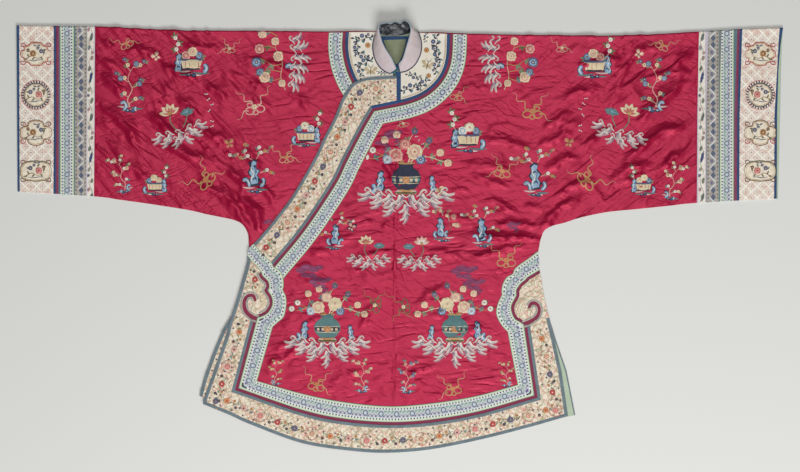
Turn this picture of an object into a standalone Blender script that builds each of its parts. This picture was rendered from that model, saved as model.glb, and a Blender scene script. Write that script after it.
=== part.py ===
"""A short embroidered satin coat with wide sleeves, laid flat and face up.

Tables are in millimetres. X runs to the wearer's left, Y up to the shoulders
and Z up from the surface that the coat lies on.
"""
import math

import bpy
import numpy as np
from mathutils import Vector
from mathutils.geometry import delaunay_2d_cdt

MM = 0.001

# Cloth, seams and the heights of the layers
WALL = 1.2
SEAM = 0.3
LAYER = WALL + SEAM
FRONT_LEVEL = LAYER
OVERLAP_RISE = 2 * LAYER
OVERLAP_FULL_X = -7
OVERLAP_NONE_X = 20

# The soft roll of cloth over each shoulder
ROLL_RISE = 3.1
ROLL_FALL = ((0, 1.0), (9, 0.35), (24, 0.0))
ROLL_STEPS = 4
NECK_EASE = 45

# Widths of the trimmings
BINDING = 7.5
CLOSING_BINDING = 6.5
BAND = 40
PIPING = 7
GROUND_STRIP = 6.5
RIBBON = 33
BACK_BINDING = 2.5
COVERED = 12

# Spacing of the points along edges and across the cloth
EDGE_STEP = 28
SHOULDER_STEP = 400
CURL_STEP = 8
GRID_STEP = 68
GRID_CLEARANCE = 13
MERGE = 0.35
FLAT = 0.02

# Outline of the wearer's right half, each row a point (x, y)
RIGHT_SHOULDER = [(-881, 484), (-702, 482), (-584, 476), (-485, 472), (-366, 472), (-161, 470), (-53, 472)]
RIGHT_NECK = [(-53, 472), (-54, 461), (-58, 436), (-54, 413), (-43, 394), (-28, 383), (-16, 378)]
RIGHT_UNDERARM = [
    (-347.5, -21), (-348, -10), (-349, 6), (-355, 20), (-365, 32), (-383, 40), (-405, 45),
    (-445, 53), (-484, 62), (-564, 75), (-643, 86), (-704, 94), (-879, 105),
]
UNDERLAP_SIDE = [(-461, -365), (-450, -324), (-430, -268), (-408, -215), (-392, -188)]
UNDERLAP_SEAM = [(-392, -188), (-384, -173), (-374, -147), (-358, -91), (-349, -55), (-347.5, -21)]
UNDERLAP_HEM = [(-22, -477), (-108, -473), (-225, -455), (-343, -412), (-392, -391), (-461, -365)]

# Outline of the wearer's left half and of the overlap that crosses the chest
LEFT_SHOULDER = [
    (37, 470), (161, 465), (299, 462), (359, 462), (458, 460), (575, 463), (688, 470), (787, 476), (880, 479),
]
LEFT_CUFF_EDGE = [(880, 479), (875, 442), (870, 385), (867, 281), (866, 89)]
LEFT_UNDERARM = [
    (866, 89), (683, 79), (616, 72), (537, 64), (477, 58), (418, 46), (377, 33), (356, 28),
    (339, 21), (330, 13), (326, 3), (322, -9), (320, -22), (318, -31),
]
LEFT_SIDE = [(318, -31), (321, -76), (324, -92), (330, -129), (336, -158), (343, -185)]
LEFT_SLIT = [(343, -185), (356, -241), (371, -308), (386, -411)]
FRONT_HEM = [
    (386, -411), (303, -435), (185, -465), (68, -488), (-26, -495), (-108, -491), (-225, -473),
    (-343, -430), (-392, -408), (-453, -383),
]
OVERLAP_SIDE = [
    (-453, -383), (-448, -364), (-423, -294), (-400, -227), (-392, -195), (-376, -147), (-360, -91),
    (-353, -66), (-351, -55), (-350, -31),
]
CLOSING_EDGE = [
    (-350, -31), (-345, -22), (-336, -15), (-308, 16), (-263, 73), (-238, 110), (-198, 179),
    (-174, 230), (-152, 272), (-135, 314), (-124, 333), (-114, 348), (-99, 359), (-72, 367), (-8, 371),
]
LEFT_NECK = [(2, 381), (16, 387), (31, 400), (42, 422), (45, 440), (42, 458), (37, 470)]
CENTRE_SEAM = [(-3, 400), (-3, 311), (-10, 0), (-16, -520)]

# Outline of the back where it differs from the front
BACK_NECK = [(-53, 472), (-30, 469), (-9, 468), (15, 469), (37, 470)]
BACK_CUFF_EDGE = [(880, 479), (878, 442), (876, 385), (874, 281), (869, 88)]
BACK_LEFT_SLIT = [(343, -185), (360, -241), (383, -308), (403, -409)]
BACK_HEM = [
    (403, -409), (303, -431), (185, -461), (68, -484), (-26, -491), (-108, -487), (-225, -469),
    (-343, -425), (-392, -400), (-452, -372),
]
BACK_RIGHT_SLIT = [(-452, -372), (-441, -324), (-421, -268), (-399, -215), (-389, -188)]
BACK_RIGHT_SEAM = [(-389, -188), (-381, -173), (-371, -147), (-355, -91), (-348, -55), (-347.5, -21)]
BACK_SEAM = [(-8, 480), (-12, -510)]

# Cuff seams, counted in from the sleeve's end: name, colour and the seam's x at top, middle and bottom
CUFF_HEIGHTS = (500, 281, 60)
RIGHT_CUFF = [
    ("binding", "blue_binding", -875, -875, -874),
    ("band", "cream_embroidered_silk", -796, -796, -797),
    ("piping", "blue_binding", -791, -791, -791.5),
    ("strip", "purple_satin", -783, -784, -785.5),
    ("ribbon", "flowered_ribbon", -746, -747, -748.5),
    ("grey_brocade", "grey_brocade", -719, -721, -723),
    ("cream_brocade", "cream_brocade", -701, -702, -704),
]
LEFT_CUFF = [
    ("binding", "blue_binding", 873.5, 861, 860),
    ("band", "cream_embroidered_silk", 787.5, 781, 780),
    ("piping", "blue_binding", 782, 775.5, 774.5),
    ("strip", "purple_satin", 776, 768.5, 767),
    ("ribbon", "flowered_ribbon", 740, 734, 733),
    ("grey_brocade", "grey_brocade", 709.5, 704, 704),
    ("cream_brocade", "cream_brocade", 688, 683.5, 682.5),
]

# Inner edge of the piping round the neck: the ring, then the straight run to the closing's corner
NECK_GUIDE = [(108, 490), (108, 470), (106, 420), (99, 389), (85, 364), (64, 343), (41, 329), (16, 320), (-3, 315)]
CLOSING_CORNER = (-68, 302)
CLOSING_GUIDE = [(-68, 302), (-96, 254), (-135, 179), (-156, 135), (-201, 65), (-242, 8), (-294, -54), (-306, -69)]
UNDER_GUIDE = [(-117, 490), (-117, 472), (-119, 440), (-115, 408), (-106, 379), (-92, 352), (-74, 332), (-50, 316)]
PLACKET = [(-8, 400), (-8, 309), (2, 309), (2, 400)]

# Border ribbon, a row per section: its edge on the body side, then its edge on the hem side
LEFT_CLOUD = [
    [(-347, -3, -361, -34), (-336, -14, -351, -43), (-314, -40, -337, -59), (-297, -55, -323, -74),
     (-290, -68, -319, -80)],
    [(-290, -68, -319, -80), (-277, -75, -316, -89), (-269, -89, -304, -101), (-267, -110, -301, -114),
     (-269, -121, -305, -122)],
    [(-269, -121, -305, -122), (-262, -136, -295, -138), (-261, -158, -294, -156), (-267, -183, -304, -173),
     (-281, -196, -317, -181), (-292, -206, -328, -184)],
]
LEFT_UPRIGHT = [(-292, -206, -328, -184), (-328, -330, -371.5, -347)]
HEM_RIBBON = [
    (-328, -330, -371.5, -347), (-225, -359, -225, -397), (-131, -378, -131, -417), (-26, -388, -26, -425),
    (68, -382, 68, -420), (174, -365, 179, -401), (270, -339, 309, -364),
]
RIGHT_UPRIGHT = [(270, -339, 309, -364), (247, -218, 285, -200)]
RIGHT_CLOUD = [
    [(247, -218, 285, -200), (232, -201, 276, -194), (221, -177, 263, -185), (224, -154, 256, -160),
     (234, -132, 268, -134)],
    [(234, -132, 268, -134), (233, -122, 268, -122), (236, -107, 273, -113), (245, -92, 279.5, -105),
     (259, -84, 289, -98)],
    [(259, -84, 289, -98), (263, -73, 293, -93), (274, -63, 306, -85), (294, -49, 321, -76),
     (318, -31, 340, -66), (336, -20, 358, -57)],
]

# Curled slots in the border that show the satin: x, y and width along the middle of each
LEFT_CURL = [
    (-326.6, -188, 11), (-340, -183, 10), (-351, -174, 9.5), (-357, -163, 8.5), (-358, -149, 8),
    (-353, -137.5, 7.5), (-344, -133, 7.5), (-336, -136, 8), (-333, -144, 7),
]
RIGHT_CURL = [
    (283, -200, 11), (294, -196, 10), (306, -190, 9), (316, -181, 8), (320, -170, 7.5),
    (318, -158, 7.5), (309, -151, 8), (301, -153, 8), (297, -160, 7),
]

# Folds: start x, start y, end x, end y, sideways bow, half width, height
SLEEVE_FOLDS = [
    (-690, 452, -655, 430, 3, 9, 3.0),
    (-688, 380, -640, 320, 5, 12, 5.0),
    (-692, 314, -590, 182, 10, 16, 7.0),
    (-628, 432, -538, 410, 5, 11, 4.5),
    (-540, 388, -467, 355, 4, 11, 4.5),
    (-448, 355, -398, 310, 4, 10, 4.0),
    (-512, 322, -458, 272, 4, 11, 4.0),
    (-578, 282, -512, 220, 5, 13, 5.0),
    (-552, 210, -402, 148, 8, 14, 6.0),
    (-462, 243, -380, 204, 5, 13, 5.0),
    (-644, 170, -570, 126, 4, 12, 5.0),
    (-420, 110, -366, 52, 5, 12, 5.0),
    (-455, 122, -400, 80, 4, 11, 4.5),
    (-392, 160, -352, 92, 4, 12, 4.5),
    (-368, 208, -312, 138, 4, 12, 4.5),
    (-356, 332, -294, 286, 4, 11, 3.5),
    (-345, 412, -248, 370, 5, 12, 4.0),
    (-255, 334, -206, 290, 4, 10, 3.0),
    (-662, 204, -616, 140, 3, 10, 4.0),
    (-492, 440, -402, 424, 3, 10, 3.5),
]
OUTER_FOLDS = [
    (672, 425, 626, 382, -4, 11, 4.5),
    (668, 380, 575, 361, -5, 12, 5.0),
    (664, 358, 547, 256, -9, 16, 7.0),
    (606, 440, 524, 414, -4, 10, 4.0),
    (662, 262, 524, 187, -8, 15, 6.5),
    (506, 410, 400, 390, -4, 11, 4.5),
    (391, 286, 331, 242, -4, 11, 4.0),
    (465, 346, 368, 312, -4, 12, 4.5),
    (580, 170, 474, 126, -5, 13, 5.0),
    (365, 62, 318, 10, -3, 11, 4.5),
    (420, 92, 350, 54, -4, 11, 4.5),
    (446, 132, 352, 92, -4, 12, 5.0),
    (409, 187, 334, 152, -4, 12, 4.5),
    (396, 240, 317, 204, -4, 12, 4.5),
    (552, 144, 476, 108, -4, 11, 4.5),
    (652, 200, 606, 154, -3, 11, 4.0),
    (483, 250, 414, 200, -4, 11, 4.0),
    (179, 226, 312, 198, 4, 11, 4.0),
    (142, 336, 206, 346, 2, 8, 3.0),
    (225, 8, 308, 4, 2, 12, 5.5),
    (222, -30, 292, -16, 2, 10, 4.0),
    (-51, 184, 5, 108, 3, 10, 3.5),
    (-228, -92, -156, -113, 2, 9, 3.0),
    (-296, -258, -225, -240, 2, 8, 3.0),
    (-166, -35, -110, 4, 2, 8, 3.0),
    (46, -148, 120, -104, 3, 10, 3.5),
    (87, 55, 170, 26, 3, 10, 3.5),
    (-268, -285, -205, -226, 3, 9, 3.5),
    (189, 88, 276, 52, 3, 10, 4.0),
    (161, 143, 248, 110, 3, 10, 3.5),
    (-110, -55, -18, -30, 3, 10, 3.0),
    (69, -32, 161, -56, 3, 10, 3.5),
    (-230, -213, -161, -173, 2, 9, 3.0),
    (115, -236, 198, -205, 3, 10, 3.5),
    (-92, -213, -51, -146, 3, 9, 3.0),
    (9, -328, 92, -288, 3, 10, 3.0),
    (-161, -335, -82, -308, 2, 9, 3.0),
]
FOLD_FADE = 18

# Neck opening, the V that stays open in it, and the collar's stations
NECK_OPENING = [
    (38, 462), (40.5, 457), (43.5, 440), (40.5, 422), (29.5, 401.5), (15, 389.5), (2, 384), (-15, 383.5),
    (-27, 386), (-41, 396.5), (-52, 414), (-56, 436), (-53, 455), (-51, 462),
]
NECK_VEE = [(14, 455), (11, 436), (5, 416), (-3, 401), (-9, 397), (-17, 408), (-30, 430), (-38, 453)]
COLLAR_WALL = 1.8
COLLAR_ROWS = 5
COLLAR_STEPS = 2
# Each station: foot x, y, z and free edge x, y, z
COLLAR = [
    (-21, 377, 5.2, -9, 387, 15),
    (-30, 379, 5.0, -15, 400, 19),
    (-46, 391, 5.0, -21, 412, 22),
    (-58, 412, 5.0, -34, 432, 25),
    (-62, 436, 5.0, -42, 449, 26),
    (-60, 453, 5.0, -47, 467, 27),
    (-56, 465, 5.0, -49, 480, 28),
    (-48, 469, 3.6, -44, 488, 28),
    (-37, 465, 2.6, -30, 491, 25),
    (-23, 464, 2.6, -21, 489, 22),
    (-9, 464, 2.6, -11, 494, 24),
    (2, 465, 2.6, 1, 490, 21),
    (14, 467, 2.6, 9, 496, 27),
    (27, 473, 3.6, 20, 491, 29),
    (39, 473, 5.0, 25, 477, 28),
    (46, 459, 5.0, 23, 463, 27),
    (49, 440, 5.0, 19, 449, 26),
    (46, 420, 5.0, 14, 432, 25),
    (34, 397, 5.2, 7, 410, 22),
    (16, 383, 6.4, 1, 401, 19),
    (1, 379, 7.9, -3, 397, 15),
]

# Colours, roughness
FINISHES = {
    "crimson_satin": ((0.42, 0.016, 0.055), 0.34),
    "purple_satin": ((0.20, 0.02, 0.10), 0.36),
    "cream_embroidered_silk": ((0.78, 0.70, 0.55), 0.55),
    "ivory_embroidered_silk": ((0.83, 0.76, 0.62), 0.5),
    "flowered_ribbon": ((0.50, 0.58, 0.55), 0.5),
    "grey_brocade": ((0.30, 0.29, 0.27), 0.5),
    "cream_brocade": ((0.74, 0.68, 0.58), 0.5),
    "blue_binding": ((0.02, 0.09, 0.20), 0.5),
    "grey_green_binding": ((0.11, 0.18, 0.20), 0.5),
    "collar_silk": ((0.58, 0.50, 0.50), 0.45),
    "green_lining": ((0.30, 0.36, 0.20), 0.6),
}


# Curves

def smooth(rows, step):
    """Points of a curve through every row, about one step apart."""
    rows = [np.array(row, float) for row in rows]
    ends = [2 * rows[0] - rows[1]] + rows + [2 * rows[-1] - rows[-2]]
    points = [rows[0]]
    for i in range(1, len(ends) - 2):
        before, start, end, after = ends[i - 1:i + 3]
        pieces = max(1, round(np.linalg.norm((end - start)[:2]) / step))
        for k in range(1, pieces + 1):
            t = k / pieces
            points.append(0.5 * (
                2 * start + (end - before) * t
                + (2 * before - 5 * start + 4 * end - after) * t ** 2
                + (3 * start - before - 3 * end + after) * t ** 3
            ))
    return points


def straight(rows, step):
    """Points along straight runs between the rows."""
    points = [np.array(rows[0], float)]
    for start, end in zip(rows, rows[1:]):
        start, end = np.array(start, float), np.array(end, float)
        pieces = max(1, round(np.linalg.norm((end - start)[:2]) / step))
        points += [start + (end - start) * k / pieces for k in range(1, pieces + 1)]
    return points


def join(*lines):
    """One line from several that share their end points."""
    joined = list(lines[0])
    for line in lines[1:]:
        joined += list(line[1:])
    return joined


def offset(line, distance):
    """The line moved to its own left, with mitred corners."""
    line = np.array([point[:2] for point in line])
    along = np.diff(line, axis=0)
    along /= np.linalg.norm(along, axis=1)[:, None]
    left = np.column_stack((-along[:, 1], along[:, 0]))
    before = np.vstack((left[:1], left))
    after = np.vstack((left, left[-1:]))
    reach = 1 + (before * after).sum(axis=1)
    return list(line + distance * (before + after) / np.maximum(reach, 0.35)[:, None])


def between(line, near, far):
    """The strip between two offsets of a line."""
    return offset(line, near) + offset(line, far)[::-1]


def ribbon_edges():
    """The border ribbon's edge on the body side and its edge on the hem side."""
    runs = [smooth(lobe, CURL_STEP) for lobe in LEFT_CLOUD]
    runs += [straight(LEFT_UPRIGHT, EDGE_STEP), smooth(HEM_RIBBON, EDGE_STEP), straight(RIGHT_UPRIGHT, EDGE_STEP)]
    runs += [smooth(lobe, CURL_STEP) for lobe in RIGHT_CLOUD]
    body_side = [row[:2] for row in join(*runs)]
    hem_side = [row[2:] for row in join(*runs)]
    left_notch = len(runs[0]) - 1
    upright_start = len(join(*runs[:3])) - 1
    upright_end = len(join(*runs[:6]))
    return body_side, hem_side, left_notch, upright_start, upright_end


def curl(rows):
    """Outline of a curled slot with a round tip."""
    middle = smooth(rows, CURL_STEP)
    along = np.gradient(np.array(middle), axis=0)
    sides = ([], [])
    for (x, y, width), (dx, dy, _) in zip(middle, along):
        length = math.hypot(dx, dy)
        across = np.array((-dy, dx)) / length * width / 2
        sides[0].append(np.array((x, y)) + across)
        sides[1].append(np.array((x, y)) - across)
    x, y, width = middle[-1]
    dx, dy = along[-1][:2] / math.hypot(*along[-1][:2])
    tip = np.array((x + dx * width / 2, y + dy * width / 2))
    return sides[0] + [tip] + sides[1][::-1]


def inside(points, polygon):
    """Which of the points lie in the polygon."""
    points = np.asarray(points, float)
    corners = np.array([corner[:2] for corner in polygon])
    result = np.zeros(len(points), bool)
    for (ax, ay), (bx, by) in zip(corners, np.roll(corners, -1, axis=0)):
        crosses = (ay > points[:, 1]) != (by > points[:, 1])
        if ay != by:
            result ^= crosses & (points[:, 0] < ax + (points[:, 1] - ay) * (bx - ax) / (by - ay))
    return result


def distance_to(points, line):
    """Distance from each point to a line."""
    points = np.asarray(points, float)
    line = np.array([point[:2] for point in line])
    nearest = np.full(len(points), np.inf)
    for start, end in zip(line, line[1:]):
        run = end - start
        t = np.clip(((points - start) @ run) / max(run @ run, 1e-9), 0, 1)
        nearest = np.minimum(nearest, np.linalg.norm(points - start - t[:, None] * run, axis=1))
    return nearest


# Heights

def fold_line(fold):
    """Points of a fold's crest with the half width and height at each."""
    x0, y0, x1, y1, bow, width, height = fold
    run = np.array((x1 - x0, y1 - y0), float)
    across = np.array((-run[1], run[0])) / np.linalg.norm(run)
    rows = []
    for t in (0, 0.25, 0.5, 0.75, 1):
        swell = math.sin(math.pi * t)
        point = np.array((x0, y0)) + run * t + across * bow * swell
        rows.append((*point, width * swell, height * swell))
    return rows, across


def fold_heights(points, folds):
    """Height of the cloth over its rest level where folds cross it."""
    points = np.asarray(points, float)
    highest = np.zeros(len(points))
    for fold in folds:
        rows, _ = fold_line(fold)
        for start, end in zip(rows, rows[1:]):
            start, end = np.array(start), np.array(end)
            run = end[:2] - start[:2]
            t = np.clip(((points - start[:2]) @ run) / (run @ run), 0, 1)
            nearest = start[:2] + t[:, None] * run
            width = start[2] + t * (end[2] - start[2])
            height = start[3] + t * (end[3] - start[3])
            off = np.linalg.norm(points - nearest, axis=1)
            highest = np.maximum(highest, height * np.clip(1 - off / np.maximum(width, 1e-6), 0, 1))
    return highest


def roll_heights(points, shoulder, neck_x):
    """Rise of the front cloth towards the soft roll over the shoulder."""
    points = np.asarray(points, float)
    shoulder = np.array(sorted((point[:2] for point in shoulder), key=lambda point: point[0]))
    below = np.interp(points[:, 0], shoulder[:, 0], shoulder[:, 1]) - points[:, 1]
    fall = np.interp(below, [row[0] for row in ROLL_FALL], [row[1] for row in ROLL_FALL])
    return ROLL_RISE * fall * np.clip(np.abs(points[:, 0] - neck_x) / NECK_EASE, 0, 1)


def inner_levels(points):
    """Underside of the right half's front, which runs on below the overlap."""
    points = np.asarray(points, float)
    covered = inside(points, OUTER_OUTLINE)
    fade = np.where(covered, 0, np.clip(distance_to(points, CLOSING) / FOLD_FADE, 0, 1))
    folds = fold_heights(points, SLEEVE_FOLDS) * fade
    return FRONT_LEVEL + folds + roll_heights(points, RIGHT_TOP, RIGHT_NECK[0][0])


def outer_levels(points):
    """Underside of the overlap and of the left half's front."""
    points = np.asarray(points, float)
    rise = np.interp(points[:, 0], (OVERLAP_FULL_X, OVERLAP_NONE_X), (OVERLAP_RISE, 0))
    folds = fold_heights(points, OUTER_FOLDS)
    right_of_neck = points[:, 0] > LEFT_SHOULDER[0][0]
    roll = np.where(right_of_neck, roll_heights(points, LEFT_TOP, LEFT_SHOULDER[0][0]), 0)
    return FRONT_LEVEL + rise + folds + roll


# Cutting a layer into pieces

class Layer:
    """Triangles of one layer of cloth, each marked with the panel and the trimming it belongs to."""

    def __init__(self, outline, panels, trimmings, levels, lines=(), grid=GRID_STEP):
        self.outline = outline
        self.panels = panels
        self.trimmings = trimmings
        borders = [outline] + [area for _, area in panels] + [area for _, area in trimmings]
        points, edges = self.gather([border + border[:1] for border in borders])
        points, triangles = self.triangulate(points, edges)
        marks = self.mark(points, triangles)
        edges = self.changes(triangles, marks)
        kept = sorted({corner for edge in edges for corner in edge})
        place = {corner: i for i, corner in enumerate(kept)}
        points = [points[corner] for corner in kept]
        edges = [(place[a], place[b]) for a, b in edges]
        more_points, more_edges = self.gather(lines)
        edges += [(a + len(points), b + len(points)) for a, b in more_edges]
        points = points + more_points
        points += self.fill(points, edges, grid)
        points, triangles = self.triangulate(points, edges)
        marks = self.mark(points, triangles)
        self.points = np.array(points)
        self.triangles = [triangle for triangle, mark in zip(triangles, marks) if mark]
        self.marks = [mark for mark in marks if mark]
        self.heights = levels(self.points)

    @staticmethod
    def gather(lines):
        points, edges = [], []
        for line in lines:
            first = len(points)
            points += [np.array(point[:2], float) for point in line]
            edges += [(first + i, first + i + 1) for i in range(len(line) - 1)]
        return points, edges

    @staticmethod
    def triangulate(points, edges):
        found = delaunay_2d_cdt([Vector(point) for point in points], edges, [], 0, MERGE, False)
        places = [np.array(point) for point in found[0]]
        triangles = []
        for a, b, c in found[2]:
            u, v = places[b] - places[a], places[c] - places[a]
            area = u[0] * v[1] - u[1] * v[0]
            longest = max(np.linalg.norm(u), np.linalg.norm(v), np.linalg.norm(u - v))
            if abs(area) > FLAT * longest:
                triangles.append((a, b, c) if area > 0 else (a, c, b))
        return places, triangles

    def mark(self, points, triangles):
        middles = np.array([(points[a] + points[b] + points[c]) / 3 for a, b, c in triangles])
        held = inside(middles, self.outline)
        panel = self.first_match(middles, self.panels)
        trimming = self.first_match(middles, self.trimmings)
        return [(p, t) if h else None for h, p, t in zip(held, panel, trimming)]

    @staticmethod
    def first_match(middles, areas):
        names = [None] * len(middles)
        for name, area in reversed(areas):
            for i in np.flatnonzero(inside(middles, area)):
                names[i] = name
        return names

    @staticmethod
    def changes(triangles, marks):
        seen = {}
        for triangle, mark in zip(triangles, marks):
            for i in range(3):
                edge = tuple(sorted((triangle[i], triangle[(i + 1) % 3])))
                seen.setdefault(edge, []).append(mark)
        return [edge for edge, found in seen.items() if (found + [None])[0] != (found + [None])[1]]

    def fill(self, points, edges, grid):
        corners = np.array([point[:2] for point in self.outline])
        low, high = corners.min(axis=0), corners.max(axis=0)
        spots = []
        for j, y in enumerate(np.arange(low[1] + grid / 2, high[1], grid * 0.87)):
            for x in np.arange(low[0] + grid / 2 * (1 + j % 2), high[0], grid):
                spots.append((x, y))
        spots = np.array(spots).reshape(-1, 2)
        keep = inside(spots, self.outline)
        for a, b in edges:
            keep &= distance_to(spots, (points[a], points[b])) > GRID_CLEARANCE
        return list(spots[keep])

    def pieces(self, kind, name):
        """Connected groups of the triangles of one panel (kind 0) or trimming (kind 1)."""
        chosen = [t for t, mark in zip(self.triangles, self.marks) if mark[kind] == name]
        by_edge = {}
        for i, triangle in enumerate(chosen):
            for k in range(3):
                by_edge.setdefault(frozenset((triangle[k], triangle[(k + 1) % 3])), []).append(i)
        group = list(range(len(chosen)))

        def root(i):
            while group[i] != i:
                i = group[i]
            return i

        for sharing in by_edge.values():
            for i in sharing[1:]:
                group[root(i)] = root(sharing[0])
        found = {}
        for i, triangle in enumerate(chosen):
            found.setdefault(root(i), []).append(triangle)
        return sorted(found.values(), key=len, reverse=True)

    def cut(self, piece):
        """The piece's own points, drawn in by half a seam where it meets another piece."""
        inner_edges = self.shared_edges()
        owner, corners, triangles = {}, [], []
        fans = self.fans(piece)
        for i, triangle in enumerate(piece):
            row = []
            for corner in triangle:
                key = (corner, fans[(i, corner)])
                if key not in owner:
                    owner[key] = len(corners)
                    corners.append(corner)
                row.append(owner[key])
            triangles.append(tuple(row))
        pull = {i: [] for i in range(len(corners))}
        for a, b in border_edges(triangles):
            run = self.points[corners[b]] - self.points[corners[a]]
            inward = np.array((-run[1], run[0])) / np.linalg.norm(run)
            shared = frozenset((corners[a], corners[b])) in inner_edges
            for i in (a, b):
                pull[i].append((inward, SEAM / 2 if shared else 0.0))
        places = np.array([self.points[corner] + drawn_in(pull[i]) for i, corner in enumerate(corners)])
        return corners, places, self.heights[corners], triangles

    def shared_edges(self):
        if not hasattr(self, "shared"):
            count = {}
            for triangle in self.triangles:
                for k in range(3):
                    edge = frozenset((triangle[k], triangle[(k + 1) % 3]))
                    count[edge] = count.get(edge, 0) + 1
            self.shared = {edge for edge, times in count.items() if times == 2}
        return self.shared

    @staticmethod
    def fans(piece):
        """Numbers the fans of triangles round each point, so that pieces never touch at one point."""
        around = {}
        for i, triangle in enumerate(piece):
            for corner in triangle:
                around.setdefault(corner, []).append(i)
        fans = {}
        for corner, members in around.items():
            left, number = set(members), 0
            while left:
                todo = [left.pop()]
                while todo:
                    i = todo.pop()
                    fans[(i, corner)] = number
                    others = set(piece[i]) - {corner}
                    touching = [j for j in left if others & (set(piece[j]) - {corner})]
                    todo += touching
                    left -= set(touching)
                number += 1
        return fans


def drawn_in(pulls):
    """Move of a border point that takes both of its edges in by their own distances."""
    if not pulls:
        return np.zeros(2)
    (first, by_first), (second, by_second) = pulls[0], pulls[-1]
    cross = first[0] * second[1] - first[1] * second[0]
    if abs(cross) < 0.25:
        return (first * by_first + second * by_second) / (1 + max(first @ second, 0))
    return np.array((by_first * second[1] - by_second * first[1], by_second * first[0] - by_first * second[0])) / cross


def border_edges(faces):
    """Edges with a face on one side only, in that face's direction."""
    directed = {(face[k], face[(k + 1) % len(face)]) for face in faces for k in range(len(face))}
    return [(a, b) for a, b in directed if (b, a) not in directed]


# Solids

def material(name):
    colour, roughness = FINISHES[name]
    made = bpy.data.materials.new(name)
    made.use_nodes = True
    shader = made.node_tree.nodes["Principled BSDF"]
    shader.inputs["Base Color"].default_value = (*colour, 1)
    shader.inputs["Roughness"].default_value = roughness
    return made


def thick_sheet(name, finish, outer, inner, faces):
    """A closed wall of cloth from its outer points, its inner points and the faces of its outer side."""
    count = len(outer)
    points = [Vector(point) * MM for point in list(outer) + list(inner)]
    solid = [tuple(face) for face in faces]
    solid += [tuple(corner + count for corner in reversed(face)) for face in faces]
    for a, b in sorted(border_edges(faces)):
        solid.append((b, a, a + count))
        solid.append((b, a + count, b + count))
    mesh = bpy.data.meshes.new(name)
    mesh.from_pydata(points, [], solid)
    mesh.materials.append(material(finish))
    made = bpy.data.objects.new(name, mesh)
    bpy.context.collection.objects.link(made)
    return made


def flat_piece(name, finish, layer, kind, area, lift):
    """A trimming or a plain patch of one layer, lifted off the layer's level."""
    for number, piece in enumerate(layer.pieces(kind, area)):
        _, places, heights, triangles = layer.cut(piece)
        if len(triangles) < 4:
            continue
        top = np.column_stack((places, heights + lift + WALL))
        bottom = np.column_stack((places, heights + lift))
        label = name if number == 0 else "%s_%d" % (name, number + 1)
        thick_sheet(label, finish, top, bottom, triangles)


def folded_panel(name, finish, front, front_area, back, back_area, shoulder):
    """A panel cut in one with its back, folded over the shoulder in a soft roll."""
    corners, places, heights, triangles = front.cut(front.pieces(0, front_area)[0])
    back_corners, back_places, _, back_triangles = back.cut(back.pieces(0, back_area)[0])
    outer = [(x, y, z + WALL) for (x, y), z in zip(places, heights)]
    inner = [(x, y, z) for (x, y), z in zip(places, heights)]
    first_back = len(outer)
    outer += [(x, y, 0.0) for x, y in back_places]
    inner += [(x, y, WALL) for x, y in back_places]
    faces = list(triangles)
    faces += [tuple(corner + first_back for corner in reversed(triangle)) for triangle in back_triangles]

    on_line = distance_to(front.points[corners], shoulder) < 0.3
    top_edges = [(a, b) for a, b in border_edges(triangles) if on_line[a] and on_line[b]]
    back_points = back.points[back_corners]
    partner = {}
    for i in {corner for edge in top_edges for corner in edge}:
        gaps = np.linalg.norm(back_points - front.points[corners[i]], axis=1)
        nearest = int(gaps.argmin())
        assert gaps[nearest] < 0.5, "%s: a shoulder point has no partner on the back" % name
        partner[i] = nearest + first_back
    rows = {}
    for i, other in partner.items():
        x, y, top = outer[i]
        x_back, y_back, _ = outer[other]
        below = inner[i][2]
        row = [i]
        for k in range(1, ROLL_STEPS):
            t = k / ROLL_STEPS
            angle = math.pi * (0.5 - t)
            at = (x + (x_back - x) * t, y + (y_back - y) * t)
            radius, hollow = top / 2, (below - WALL) / 2
            row.append(len(outer))
            outer.append((at[0], at[1] + radius * math.cos(angle), radius + radius * math.sin(angle)))
            inner.append((at[0], at[1] + hollow * math.cos(angle), WALL + hollow + hollow * math.sin(angle)))
        rows[i] = row + [other]
    for a, b in top_edges:
        for k in range(ROLL_STEPS):
            faces.append((rows[b][k], rows[a][k], rows[a][k + 1]))
            faces.append((rows[b][k], rows[a][k + 1], rows[b][k + 1]))
    return thick_sheet(name, finish, outer, inner, faces)


def collar():
    """The stand collar, round the neck from one front end to the other."""
    stations = []
    for i, (start, end) in enumerate(zip(COLLAR, COLLAR[1:])):
        ends = [COLLAR[max(i - 1, 0)], start, end, COLLAR[min(i + 2, len(COLLAR) - 1)]]
        before, start, end, after = [np.array(row, float) for row in ends]
        for k in range(COLLAR_STEPS):
            t = k / COLLAR_STEPS
            stations.append(0.5 * (
                2 * start + (end - before) * t
                + (2 * before - 5 * start + 4 * end - after) * t ** 2
                + (3 * start - before - 3 * end + after) * t ** 3
            ))
    stations.append(np.array(COLLAR[-1], float))
    rows = np.zeros((len(stations), COLLAR_ROWS, 3))
    for i, station in enumerate(stations):
        foot, edge = station[:3], station[3:]
        for j in range(COLLAR_ROWS):
            t = j / (COLLAR_ROWS - 1)
            rows[i, j, :2] = foot[:2] + (edge - foot)[:2] * t
            rows[i, j, 2] = foot[2] + (edge - foot)[2] * math.sin(t * math.pi / 2)
    along = np.gradient(rows, axis=0)
    upward = np.gradient(rows, axis=1)
    normal = np.cross(upward, along)
    normal /= np.linalg.norm(normal, axis=2)[:, :, None]
    outer = (rows + normal * COLLAR_WALL / 2).reshape(-1, 3)
    inner = (rows - normal * COLLAR_WALL / 2).reshape(-1, 3)
    faces = []
    for i in range(len(stations) - 1):
        for j in range(COLLAR_ROWS - 1):
            a = i * COLLAR_ROWS + j
            b = a + COLLAR_ROWS
            faces += [(a, a + 1, b + 1), (a, b + 1, b)]
    thick_sheet("collar", "collar_silk", outer, inner, faces)


# The coat's layers

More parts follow.
